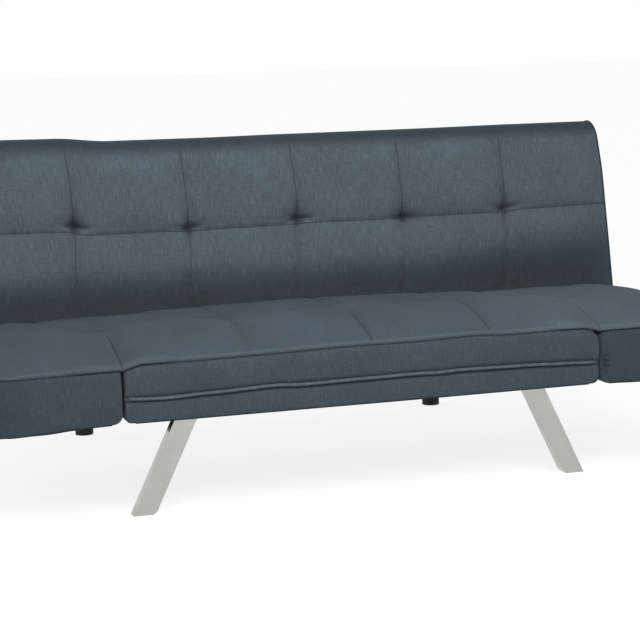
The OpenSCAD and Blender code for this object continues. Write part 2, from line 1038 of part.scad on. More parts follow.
// share 0 to 2 picks a third of the knuckle, from the front
module barrel(y, share) {
    y0 = y + share * (knuckle_share + knuckle_gap);
    translate([hinge_x, 0, hinge_z])
        rod_y(knuckle_r, y0, y0 + knuckle_share);
}

module barrel_tab(y, share, x0) {
    y0 = y + share * (knuckle_share + knuckle_gap);
    box_between([x0, y0, hinge_z - knuckle_r - 2 * knuckle_gap], [x0 + leaf_t, y0 + knuckle_share, hinge_z]);
}

module leaf(y, x0, shares) {
    top = hinge_z - knuckle_r - knuckle_gap;
    difference() {
        union() {
            box_between([x0, y, top - leaf_h], [x0 + leaf_t, y + hinge_l, top]);
            for (share = shares) {
                barrel(y, share);
                barrel_tab(y, share, x0);
            }
        }
        translate([hinge_x, 0, hinge_z])
            rod_y(hinge_pin_r + running_fit, y - 1, y + hinge_l + 1);
    }
}

screw_heights = [board_z + screw_rise, board_top - screw_drop];
screw_ys = [for (y = hinge_ys, along = [screw_end, hinge_l - screw_end]) y + along];

// Screws from the slot into the side board of the seat, as plain or tapered rods
module leaf_screws(r, head_r) {
    mirrored()
        for (y = screw_ys, z = screw_heights)
            translate([centre_half + leaf_t, y, z])
                rotate([0, -90, 0]) {
                    cylinder(r = r, h = screw_l + (r - screw_r));
                    if (head_r > r)
                        cylinder(r1 = head_r, r2 = r, h = leaf_t * 0.8);
                }
}

// The same screws for the end section at +X, pointing outward
module arm_screws(r, head_r) {
    translate([2 * hinge_x, 0, 0])
        mirror([1, 0, 0])
            intersection() {
                leaf_screws(r, head_r);
                translate([0, front, 0])
                    cube([sofa_half, seat_d, hinge_z]);
            }
}

module seat_hinge_leaves() {
    color(zinc)
    difference() {
        mirrored()
            for (y = hinge_ys)
                leaf(y, centre_half, [0, 2]);
        leaf_screws(screw_r + gap, screw_head_r + gap);
    }
}

module seat_hinge_screws() {
    color(zinc)
    leaf_screws(screw_r, screw_head_r);
}

module arm_hinge_pins() {
    color(zinc)
    mirrored()
        for (y = hinge_ys)
            translate([hinge_x, 0, hinge_z])
                rod_y(hinge_pin_r, y, y + hinge_l);
}

// ---- End sections, drawn for +X ----

module arm_under_corner(inset) {
    translate([arm_inner_x, underside_z])
        under_corner(inset);
}

module arm_pad(inset, bottom) {
    shoulder = underside_z + valley_h - inset;
    crown = underside_z + arm_crown_h - inset;
    corner = arm_corner_r - inset;
    low = [arm_inner_x + inset, front + inset];
    high = [sofa_half - inset, seat_rear - inset];
    intersection() {
        along_y(low[1], high[1])
            difference() {
                pad_outline(low[0], high[0], bottom, shoulder, crown, fold_run);
                arm_under_corner(inset);
            }
        translate([arm_inner_x + arm_w / 2, 0, 0])
            along_x(arm_w)
                pad_outline(low[1], high[1], bottom, shoulder, crown, border_run);
        translate([0, 0, bottom])
            linear_extrude(crown - bottom)
                rounded_rect(low, high, [0.5, corner, corner, 0.5]);
    }
}

arm_frame_x = arm_inner_x + cover_t + gap;
arm_end_x = sofa_half - arm_corner_r;

module arm_cover() {
    color(fabric)
    difference() {
        arm_pad(0, underside_z);
        arm_pad(cover_t, underside_z - 1);
        knuckle_room();
        arm_screws(screw_r + bolt_fit, screw_r + bolt_fit);
    }
}

module arm_foam() {
    color(foam)
    difference() {
        arm_pad(cover_t + gap, board_z);
        box_between([arm_inner_x, front, board_z - 1], [arm_end_x + gap, seat_rear, arm_foam_z]);
        knuckle_room();
    }
}

module arm_deck() {
    color(wood)
    box_between([arm_frame_x, seat_board_front, board_top], [arm_end_x, seat_board_rear, arm_foam_z]);
}

module arm_inner_board() {
    color(wood)
    difference() {
        along_y(seat_board_front, seat_board_rear)
            difference() {
                board_outline(arm_frame_x, arm_frame_x + board_t);
                translate([arm_inner_x, underside_z])
                    board_corner();
            }
        arm_screws(screw_r + gap, screw_r + gap);
    }
}

module arm_end_boards() {
    color(wood)
    for (y = [seat_board_front, seat_board_rear - board_t])
        box_between([arm_frame_x + board_t, y, board_z], [arm_end_x, y + board_t, board_top]);
}

module arm_dust_cover() {
    inset = cover_t + gap;
    color(black_cloth)
    translate([0, 0, underside_z])
        linear_extrude(dust_t)
            rounded_rect([arm_inner_x + under_corner_r + gap, seat_board_front], [sofa_half - inset, seat_board_rear],
                [0.5, arm_corner_r - inset, arm_corner_r - inset, 0.5]);
}

module arm_hinge_leaves() {
    color(zinc)
    difference() {
        for (y = hinge_ys)
            leaf(y, arm_inner_x - leaf_t, [1]);
        arm_screws(screw_r + gap, screw_head_r + gap);
    }
}

module arm_hinge_screws() {
    color(zinc)
    arm_screws(screw_r, screw_head_r);
}

module right_arm_deck() {
    arm_deck();
}

module left_arm_deck() {
    mirror([1, 0, 0])
        arm_deck();
}

module right_arm_inner_board() {
    arm_inner_board();
}

module left_arm_inner_board() {
    mirror([1, 0, 0])
        arm_inner_board();
}

module right_arm_end_boards() {
    arm_end_boards();
}

module left_arm_end_boards() {
    mirror([1, 0, 0])
        arm_end_boards();
}

module right_arm_foam() {
    arm_foam();
}

module left_arm_foam() {
    mirror([1, 0, 0])
        arm_foam();
}

module right_arm_cover() {
    arm_cover();
}

module left_arm_cover() {
    mirror([1, 0, 0])
        arm_cover();
}

module right_arm_dust_cover() {
    arm_dust_cover();
}

module left_arm_dust_cover() {
    mirror([1, 0, 0])
        arm_dust_cover();
}

module right_arm_hinge_leaves() {
    arm_hinge_leaves();
}

module left_arm_hinge_leaves() {
    mirror([1, 0, 0])
        arm_hinge_leaves();
}

module right_arm_hinge_screws() {
    arm_hinge_screws();
}

module left_arm_hinge_screws() {
    mirror([1, 0, 0])
        arm_hinge_screws();
}

front_leg_left();
front_leg_right();
rear_leg_left();
rear_leg_right();
rear_foot_left();
rear_foot_right();
base_rail_left();
base_rail_right();
rear_cross_tube();
rail_buffers();
frame_bolts();
leg_blocks();
seat_front_board();
seat_rear_board();
seat_cross_board();
seat_left_board();
seat_right_board();
seat_webbing();
seat_foam();
seat_cover();
seat_welt();
seat_dust_cover();
seat_plate_left();
seat_plate_right();
pivot_bolts();
pawl_springs();
pawl_left();
pawl_right();
seat_hinge_leaves();
seat_hinge_screws();
arm_hinge_pins();
left_arm_deck();
left_arm_inner_board();
left_arm_end_boards();
left_arm_foam();
left_arm_cover();
left_arm_dust_cover();
left_arm_hinge_leaves();
left_arm_hinge_screws();
right_arm_deck();
right_arm_inner_board();
right_arm_end_boards();
right_arm_foam();
right_arm_cover();
right_arm_dust_cover();
right_arm_hinge_leaves();
right_arm_hinge_screws();
back_arm_left();
back_arm_right();
back_arm_bolts();
back_bottom_board();
back_top_board();
back_outer_stile_left();
back_outer_stile_right();
back_inner_stile_left();
back_inner_stile_right();
back_webbing();
back_foam();
back_cover();
back_rear_panel();
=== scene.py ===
"""Dresses the futon sofa bed: stuffed linen-look upholstery, chromed legs and black steelwork."""
import json
import logging
import math
from dataclasses import dataclass, field
from enum import Enum
from typing import Any, Callable, ClassVar, Iterable, NamedTuple

import bmesh
import bpy
from mathutils import Matrix, Vector, noise


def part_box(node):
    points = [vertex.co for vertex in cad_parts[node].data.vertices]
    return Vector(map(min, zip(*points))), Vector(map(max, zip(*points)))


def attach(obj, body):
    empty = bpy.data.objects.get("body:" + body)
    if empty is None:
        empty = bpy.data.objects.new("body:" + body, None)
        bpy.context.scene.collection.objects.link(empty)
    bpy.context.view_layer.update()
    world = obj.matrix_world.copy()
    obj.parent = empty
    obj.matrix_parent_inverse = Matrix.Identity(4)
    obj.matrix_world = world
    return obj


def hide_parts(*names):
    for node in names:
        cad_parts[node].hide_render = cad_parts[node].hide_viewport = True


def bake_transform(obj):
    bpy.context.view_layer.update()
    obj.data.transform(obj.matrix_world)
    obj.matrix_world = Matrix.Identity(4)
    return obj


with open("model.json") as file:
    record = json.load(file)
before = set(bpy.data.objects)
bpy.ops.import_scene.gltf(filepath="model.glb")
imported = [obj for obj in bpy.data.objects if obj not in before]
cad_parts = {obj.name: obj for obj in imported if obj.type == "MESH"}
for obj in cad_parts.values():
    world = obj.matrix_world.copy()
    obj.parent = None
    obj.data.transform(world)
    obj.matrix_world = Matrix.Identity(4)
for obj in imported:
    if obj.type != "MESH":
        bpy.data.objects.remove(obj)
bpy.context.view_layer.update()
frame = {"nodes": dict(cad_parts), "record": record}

log = logging.getLogger("futon")

Colour = tuple[float, float, float, float]
Size = tuple[float, float, float]
Knots = tuple[tuple[float, float], ...]

FABRIC = "blue_grey_fabric"
# A point this near to a side of a pad's box lies on it
ON_SIDE = 1e-4


# ---- Small sums shared by the pieces ----


def linear(code: str) -> Colour:
    """Turns an sRGB hex colour into linear light.

    Args:
        code: the colour as "#rrggbb".

    Returns:
        The linear red, green, blue and an alpha of 1.
    """
    parts = [int(code[i : i + 2], 16) / 255 for i in (1, 3, 5)]
    light = [c / 12.92 if c <= 0.04045 else ((c + 0.055) / 1.055) ** 2.4 for c in parts]
    return (light[0], light[1], light[2], 1.0)


def bell(distance: float, width: float) -> float:
    """A soft bump: 1 on the line and near 0 at twice the width."""
    return math.exp(-((distance / width) ** 2))


def ramp(low: float, high: float, value: float) -> float:
    """Rises smoothly from 0 at low to 1 at high."""
    t = min(max((value - low) / (high - low), 0.0), 1.0)
    return t * t * (3 - 2 * t)


def crown(t: float, fullness: float = 0.75) -> float:
    """The height share of a stuffed panel at t, which runs from 0 to 1 across it."""
    return math.sin(math.pi * min(max(t, 0.0), 1.0)) ** fullness


class Peak(NamedTuple):
    """A soft peak or dent: its size in the middle and the width over which it fades."""

    size: float
    width: float

    def at(self, distance: float) -> float:
        """The size left at a distance from the middle."""
        return self.size * bell(distance, self.width)


def fillet(distance: float, radius: float) -> float:
    """How far a quarter-round edge has drawn in at a distance from its end."""
    reach = min(max(radius - distance, 0.0), radius)
    return radius - math.sqrt(radius**2 - reach**2)


def rounded(dx: float, dy: float, radius: float) -> tuple[float, float]:
    """Moves a point, given by its distances from two edges, in from their square corner to a round one.

    Args:
        dx: distance from one edge.
        dy: distance from the other edge.
        radius: the corner's radius.

    Returns:
        Both distances on the round corner.
    """
    if dx >= radius or dy >= radius:
        return dx, dy
    u, v = 1 - dx / radius, 1 - dy / radius
    return radius * (1 - u * math.sqrt(1 - v * v / 2)), radius * (1 - v * math.sqrt(1 - u * u / 2))


def drift(x: float, y: float, seed: float, length: float) -> float:
    """Slow unevenness of -1 to 1 that repeats each run, with features about a length long."""
    return 2 * noise.noise(Vector((x / length, y / length, seed)))


def along(knots: Knots, place: float) -> float:
    """A size that changes smoothly between the places where it is known.

    Args:
        knots: places in rising order, each with its size.
        place: where the size is wanted.

    Returns:
        The size there.
    """
    for (start, low), (end, high) in zip(knots, knots[1:]):
        if place < end:
            return low + (high - low) * ramp(start, end, place)
    return knots[-1][1]


def stations(low: float, high: float, pitch: float, marks: Iterable[float] = ()) -> list[float]:
    """Places of the cuts across a cloth, close together at sewn lines and ends.

    Args:
        low: where the cloth starts.
        high: where it ends.
        pitch: the widest cell.
        marks: the sewn lines, which get a cut each.

    Returns:
        The places in rising order, with both ends.
    """
    wanted = [low, high, *marks]
    for mark in marks:
        wanted += [mark + side * step for step in (0.0022, 0.0055, 0.011, 0.018) for side in (-1, 1)]
    for step in (0.003, 0.007, 0.012, 0.018):
        wanted += [low + step, high - step]
    kept: list[float] = []
    for place in wanted:
        if low <= place <= high and all(abs(place - other) > 0.0015 for other in kept):
            kept.append(place)
    kept.sort()
    result = [kept[0]]
    for start, end in zip(kept, kept[1:]):
        parts = max(1, math.ceil((end - start) / pitch - 1e-6))
        result += [start + (end - start) * (i + 1) / parts for i in range(parts)]
    return result


def make_object(name: str, bm: bmesh.types.BMesh) -> bpy.types.Object:
    """Turns a finished bmesh into a smooth-shaded object at the origin.

    Args:
        name: the piece's name.
        bm: its mesh, which is freed.

    Returns:
        The new object, linked to the scene.
    """
    mesh = bpy.data.meshes.new(name)
    bm.to_mesh(mesh)
    bm.free()
    mesh.shade_smooth()
    piece = bpy.data.objects.new(name, mesh)
    bpy.context.scene.collection.objects.link(piece)
    return piece


def evaluated(piece: bpy.types.Object, name: str) -> bpy.types.Mesh:
    """A copy of the piece's mesh with its modifiers applied.

    Args:
        piece: the piece.
        name: the new mesh's name.

    Returns:
        The mesh.
    """
    graph = bpy.context.evaluated_depsgraph_get()
    mesh = bpy.data.meshes.new_from_object(piece.evaluated_get(graph), depsgraph=graph)
    mesh.name = name
    return mesh


def off(place: float, lines: Iterable[float]) -> float:
    """Distance from the nearest of some lines, and 1 where there are none."""
    return min((abs(place - line) for line in lines), default=1.0)


def face_towards(bm: bmesh.types.BMesh, facing: Vector) -> None:
    """Turns the faces of an open cloth to one side.

    Args:
        bm: the cloth's mesh.
        facing: the side that they look to.
    """
    bmesh.ops.recalc_face_normals(bm, faces=bm.faces)
    if sum(face.normal.dot(facing) for face in bm.faces) < 0:
        bmesh.ops.reverse_faces(bm, faces=bm.faces)


def lay_weave(bm: bmesh.types.BMesh, plan: Callable[[Vector], tuple[float, float]]) -> None:
    """Adds the UV map that the weave follows, in metres.

    Args:
        bm: the cloth's mesh.
        plan: gives a point's place on the flat cloth.
    """
    weave = bm.loops.layers.uv.new("cloth")
    for face in bm.faces:
        for loop in face.loops:
            loop[weave].uv = plan(loop.vert.co)


def thicken(piece: bpy.types.Object, thickness: float) -> None:
    """Gives a surface its cloth's real thickness, inwards.

    Args:
        piece: the surface.
        thickness: the cloth's thickness.
    """
    wall = piece.modifiers.new("thickness", "SOLIDIFY")
    wall.thickness = thickness
    wall.offset = -1.0
    piece.data = evaluated(piece, piece.name)
    piece.modifiers.clear()


def tube(name: str, points: list[Vector], radius: float, closed: bool = False) -> bpy.types.Object:
    """A round cord along a path, made a mesh.

    Args:
        name: the piece's name.
        points: the path's points.
        radius: the cord's radius.
        closed: whether the path meets itself.

    Returns:
        The cord, with a UV map in metres round and along it.
    """
    curve = bpy.data.curves.new(name, "CURVE")
    curve.dimensions = "3D"
    curve.bevel_depth = radius
    curve.bevel_resolution = 3
    curve.use_fill_caps = True
    line = curve.splines.new("POLY")
    line.points.add(len(points) - 1)
    for knot, point in zip(line.points, points):
        knot.co = (*point, 1.0)
    line.use_cyclic_u = closed
    source = bpy.data.objects.new(name + "_path", curve)
    bpy.context.scene.collection.objects.link(source)
    mesh = evaluated(source, name)
    bpy.data.objects.remove(source)
    mesh.shade_smooth()
    piece = bpy.data.objects.new(name, mesh)
    bpy.context.scene.collection.objects.link(piece)
    return piece


# ---- Finishes ----


class Marks(NamedTuple):
    """What sewing and use have done to the cloth at a point, with painted shade and a painted highlight, each
    from 0 to 1.
    """

    # Seam thread, and painted shade in tuft dimples, creases and gathers
    seam: float = 0.0
    # Painted highlight along rolled edges
    edge_highlight: float = 0.0
    # Painted shade: darkens the panels, the backrest's top band and its foot
    painted_shade: float = 0.0
    sat: float = 0.0


def add_node(
    tree: bpy.types.NodeTree, kind: str, inputs: dict[str | int, Any] | None = None, **settings: Any
) -> Any:
    """Adds a node with its settings, its values and its links.

    Args:
        tree: the node tree.
        kind: the node's type name.
        inputs: socket name or number to a value, or to another node's output to link.
        settings: the node's own properties.

    Returns:
        The node.
    """
    node = tree.nodes.new(kind)
    for key, value in settings.items():
        setattr(node, key, value)
    for key, value in (inputs or {}).items():
        if isinstance(value, bpy.types.NodeSocket):
            tree.links.new(value, node.inputs[key])
        else:
            node.inputs[key].default_value = value
    return node


def empty_material(name: str) -> tuple[bpy.types.Material, bpy.types.NodeTree]:
    """Starts a material without nodes.

    Args:
        name: the finish's name.

    Returns:
        The material and its tree.
    """
    material = bpy.data.materials.new(name)
    material.use_nodes = True
    material.node_tree.nodes.clear()
    return material, material.node_tree


class Texture(Enum):
    """What a pattern is made of: the node, the input that its amount sets and the output that it gives."""

    NOISE = ("ShaderNodeTexNoise", "Detail", "Fac")
    CELLS = ("ShaderNodeTexVoronoi", "Randomness", "Distance")


class Pattern(NamedTuple):
    """A pattern whose features have a real size in metres; amount is noise's detail or cells' randomness."""

    name: str
    size: Size
    amount: float = 2.0
    texture: Texture = Texture.NOISE


class Span(NamedTuple):
    """How a pattern's or a mark's values from low to high become a share from first to last."""

    factor: str
    low: float
    high: float
    first: float
    last: float


class Layer(NamedTuple):
    """A named colour of the finish over those beneath it; without one, the share shades them."""

    share: Span
    colour: str = ""


@dataclass(frozen=True)
class Finish:
    """A finish: patterns of a real size, the colours, roughness and relief that follow them."""

    name: str
    ground: str
    patterns: ClassVar[tuple[Pattern, ...]]
    layers: ClassVar[tuple[Layer, ...]]
    rough: ClassVar[Span]
    raised: ClassVar[tuple[tuple[str, float], ...]]
    strength: ClassVar[float]
    depth: ClassVar[float]
    shader: ClassVar[dict[str, Any]] = {}
    woven: ClassVar[bool] = False

    def factors(self, tree: bpy.types.NodeTree) -> dict[str, Any]:
        """Adds the patterns, in Object coordinates or on woven cloth in its UV map, and the cloth's marks.

        Args:
            tree: the material's tree.

        Returns:
            The socket of each pattern and mark, by its name.
        """
        if self.woven:
            place = add_node(tree, "ShaderNodeUVMap", uv_map="cloth").outputs["UV"]
        else:
            place = add_node(tree, "ShaderNodeTexCoord").outputs["Object"]
        found = {}
        for name, size, amount, texture in self.patterns:
            kind, amount_input, output = texture.value
            scale = tuple(1 / part for part in size)
            inputs = {"Vector": place, "Scale": scale}
            mapped = add_node(tree, "ShaderNodeMapping", inputs, vector_type="POINT")
            inputs = {"Vector": mapped.outputs["Vector"], "Scale": 1.0, amount_input: amount}
            found[name] = add_node(tree, kind, inputs).outputs[output]
        for mark in Marks._fields if self.woven else ():
            found[mark] = add_node(tree, "ShaderNodeAttribute", attribute_name=mark).outputs["Fac"]
        return found

    def material(self) -> bpy.types.Material:
        """Builds the material from the finish's patterns, layers, roughness and relief.

        Returns:
            The material.
        """
        material, tree = empty_material(self.name)
        factors = self.factors(tree)
        shares = []
        for name, low, high, first, last in (*(layer.share for layer in self.layers), self.rough):
            inputs = {"Value": factors[name], "From Min": low, "From Max": high}
            inputs |= {"To Min": first, "To Max": last}
            shares.append(add_node(tree, "ShaderNodeMapRange", inputs, clamp=True).outputs["Result"])
        colour: Any = linear(self.ground)
        for layer, share in zip(self.layers, shares):
            if layer.colour:
                inputs, blend = {0: share, 6: colour, 7: linear(getattr(self, layer.colour))}, "MIX"
            else:
                inputs, blend = {0: 1.0, 6: colour, 7: share}, "MULTIPLY"
            colour = add_node(tree, "ShaderNodeMix", inputs, data_type="RGBA", blend_type=blend).outputs[2]
        height: Any = 0.0
        for name, weight in self.raised:
            inputs = {0: factors[name], 1: weight, 2: height}
            height = add_node(tree, "ShaderNodeMath", inputs, operation="MULTIPLY_ADD").outputs[0]
        inputs = {"Height": height, "Strength": self.strength, "Distance": self.depth}
        normal = add_node(tree, "ShaderNodeBump", inputs).outputs["Normal"]
        inputs = {"Base Color": colour, "Roughness": shares[-1], "Normal": normal, **self.shader}
        shader = add_node(tree, "ShaderNodeBsdfPrincipled", inputs)
        add_node(tree, "ShaderNodeOutputMaterial", {"Surface": shader.outputs["BSDF"]})
        return material


@dataclass(frozen=True)
class Linen(Finish):
    """Plain-woven polyester linen-look cloth of uneven yarn: slubs run both ways in a matt slate."""

    name: str = "slate_linen_weave"
    ground: str = "#535d66"
    pale_yarn: str = "#6b767f"
    dark_yarn: str = "#3f4951"
    # Thread colour, also used for painted shade in tuft dimples, creases and gathers
    thread_and_shade: str = "#1f252d"
    # Colour of the painted shade on the panels, the backrest's top band and its foot
    painted_shade_colour: str = "#28323b"
    # Yarn is 0.5 mm; slubs of 2 mm by 30 mm are the part of the weave that shows from a few metres
    patterns = (
        Pattern("upright", (0.0021, 0.030, 1.0)),
        Pattern("level", (0.021, 0.0021, 1.0)),
        Pattern("fleck", (0.0035, 0.005, 1.0), 1.0),
        Pattern("cloudy", (0.11, 0.16, 1.0), 3.0),
    )
    layers = (
        Layer(Span("upright", 0.52, 0.72, 0.0, 0.55), "pale_yarn"),
        Layer(Span("level", 0.54, 0.74, 0.0, 0.45), "pale_yarn"),
        Layer(Span("upright", 0.46, 0.28, 0.0, 0.50), "dark_yarn"),
        Layer(Span("level", 0.45, 0.27, 0.0, 0.45), "dark_yarn"),
        Layer(Span("fleck", 0.66, 0.78, 0.0, 0.50), "pale_yarn"),
        Layer(Span("sat", 0.0, 1.0, 0.0, 0.55), "ground"),
        Layer(Span("cloudy", 0.3, 0.7, 0.90, 1.05)),
        # Painted shade laid over the cloth
        Layer(Span("painted_shade", 0.0, 1.0, 0.0, 0.75), "painted_shade_colour"),
        # Painted highlight along rolled edges
        Layer(Span("edge_highlight", 0.0, 1.0, 0.0, 0.30), "pale_yarn"),
        # Seam thread, and painted shade in tuft dimples, creases and gathers
        Layer(Span("seam", 0.15, 0.95, 0.0, 0.85), "thread_and_shade"),
    )
    rough = Span("upright", 0.3, 0.7, 0.82, 0.95)
    raised = (("upright", 1.0), ("level", 1.0), ("fleck", 0.5))
    strength, depth = 0.45, 0.0009
    shader = {
        "Sheen Weight": 0.05,
        "Sheen Roughness": 0.45,
        "Sheen Tint": linear("#b9c2cb"),
        "Specular IOR Level": 0.08,
    }
    woven = True


@dataclass(frozen=True)
class Chrome(Finish):
    """Bright chrome on polished steel tube: a mirror skin with faint polishing lines and dulled patches."""

    name: str = "bright_chrome_plate"
    ground: str = "#adaeab"
    dulled: str = "#9ea09c"
    # Polishing lines of 0.6 mm run along the legs; dull patches are about 40 mm across
    patterns = (Pattern("lines", (0.0006, 0.05, 0.02), 1.0), Pattern("dull", (0.04, 0.04, 0.06), 3.0))
    layers = (Layer(Span("dull", 0.35, 0.75, 0.0, 0.35), "dulled"),)
    rough = Span("dull", 0.3, 0.8, 0.09, 0.24)
    raised = (("lines", 1.0),)
    strength, depth = 0.08, 0.0002
    shader = {"Metallic": 1.0}


@dataclass(frozen=True)
class PowderCoat(Finish):
    """Black powder coat on welded steel: satin with a fine orange peel and greyed dust on it."""

    name: str = "black_powder_coat"
    ground: str = "#26272a"
    dusty: str = "#4b4d50"
    # Orange peel has waves of about 1.5 mm; dust gathers in patches of 50 mm
    patterns = (Pattern("peel", (0.0015, 0.0015, 0.0015)), Pattern("dust", (0.05, 0.05, 0.05), 4.0))
    layers = (Layer(Span("dust", 0.5, 0.8, 0.0, 0.25), "dusty"),)
    rough = Span("dust", 0.3, 0.8, 0.38, 0.6)
    raised = (("peel", 1.0),)
    strength, depth = 0.3, 0.0003


@dataclass(frozen=True)
class Rubber(Finish):
    """Moulded black rubber: dead matt, slightly mottled and grey where it is scuffed."""

    name: str = "moulded_black_rubber"
    ground: str = "#1c1c1d"
    scuffed: str = "#3f3f40"
    # The mould's grain is about 0.8 mm; scuffs are a few millimetres long
    patterns = (Pattern("grain", (0.0008, 0.0008, 0.0008)), Pattern("scuff", (0.006, 0.006, 0.002), 3.0))
    layers = (Layer(Span("scuff", 0.58, 0.8, 0.0, 0.5), "scuffed"),)
    rough = Span("scuff", 0.3, 0.8, 0.7, 0.9)
    raised = (("grain", 1.0),)
    strength, depth = 0.35, 0.0003


@dataclass(frozen=True)
class ZincPlate(Finish):
    """Bright zinc plating on screws, bolts and pressed hinges: grey metal with a faint blotched passivate."""

    name: str = "blue_zinc_plate"
    ground: str = "#a9adb0"
    clouded: str = "#8d9396"
    # Passivate clouds are about 8 mm across; rolling marks are 0.7 mm
    patterns = (Pattern("cloud", (0.008, 0.008, 0.008), 3.0), Pattern("rolled", (0.0007, 0.02, 0.0007), 1.0))
    layers = (Layer(Span("cloud", 0.4, 0.75, 0.0, 0.6), "clouded"),)
    rough = Span("cloud", 0.3, 0.8, 0.26, 0.48)
    raised = (("rolled", 1.0),)
    strength, depth = 0.2, 0.0002
    shader = {"Metallic": 1.0}


class Grain(Enum):
    """The way a board's fibres run."""

    ALONG = (0.4, 0.012, 0.004)
    ACROSS = (0.012, 0.4, 0.004)
    UPRIGHT = (0.012, 0.004, 0.4)


@dataclass(frozen=True)
class Pine(Finish):
    """Planed pine: pale earlywood with darker lines of latewood along the board."""

    name: str = "planed_pine"
    ground: str = "#cfb083"
    latewood: str = "#a5814f"
    fibres: str = "#8c6a3e"
    grain: Grain = Grain.ALONG
    layers = (
        Layer(Span("rings", 0.38, 0.62, 0.0, 1.0), "latewood"),
        Layer(Span("fibre", 0.5, 0.8, 0.0, 0.3), "fibres"),
    )
    rough = Span("fibre", 0.3, 0.7, 0.55, 0.75)
    raised = (("fibre", 1.0),)
    strength, depth = 0.25, 0.0003

    @property
    def patterns(self) -> tuple[Pattern, ...]:
        """Growth rings 4 to 12 mm apart and fibre of 0.6 mm, both drawn out along the grain."""
        rings = self.grain.value
        return Pattern("rings", rings, 3.0), Pattern("fibre", tuple(0.15 * part for part in rings))


@dataclass(frozen=True)
class Plywood(Finish):
    """Rotary-cut birch plywood: broad watery figure on the face."""

    name: str = "birch_plywood"
    ground: str = "#d3b98d"
    figured: str = "#b2925f"
    # The figure's bands are about 30 mm wide, and the veneers 1.5 mm thick
    patterns = (Pattern("figure", (0.03, 0.25, 0.0015), 4.0),)
    layers = (Layer(Span("figure", 0.35, 0.65, 0.0, 1.0), "figured"),)
    rough = Span("figure", 0.3, 0.7, 0.5, 0.7)
    raised = (("figure", 1.0),)
    strength, depth = 0.2, 0.0003


@dataclass(frozen=True)
class Foam(Finish):
    """Cut polyurethane foam: matt cream with open cells."""

    name: str = "cut_cream_foam"
    ground: str = "#e6dfc8"
    walls: str = "#c9bd98"
    # Cells are about 1.2 mm across
    patterns = (Pattern("cells", (0.0012, 0.0012, 0.0012), 1.0, Texture.CELLS),)
    layers = (Layer(Span("cells", 0.2, 0.8, 0.0, 0.6), "walls"),)
    rough = Span("cells", 0.0, 1.0, 0.95, 0.95)
    raised = (("cells", 1.0),)
    strength, depth = 0.5, 0.0006


@dataclass(frozen=True)
class BlackCloth(Finish):
    """Spun-bonded black dust cloth and woven webbing: matt fibres pressed in a grid of small dots."""

    name: str = "spunbond_black_cloth"
    ground: str = "#25272a"
    loose: str = "#3d4044"
    bonded: str = "#17181a"
    # Bonding dots stand 3.5 mm apart; loose fibres are 0.8 by 12 mm
    patterns = (
        Pattern("dots", (0.0035, 0.0035, 0.0035), 0.0, Texture.CELLS),
        Pattern("fibres", (0.0008, 0.012, 0.012)),
    )
    layers = (
        Layer(Span("fibres", 0.5, 0.75, 0.0, 0.5), "loose"),
        Layer(Span("dots", 0.30, 0.15, 0.0, 0.5), "bonded"),
    )
    rough = Span("fibres", 0.3, 0.7, 0.75, 0.95)
    raised = (("dots", 1.0), ("fibres", 1.0))
    strength, depth = 0.4, 0.0004


# ---- Padded pieces ----


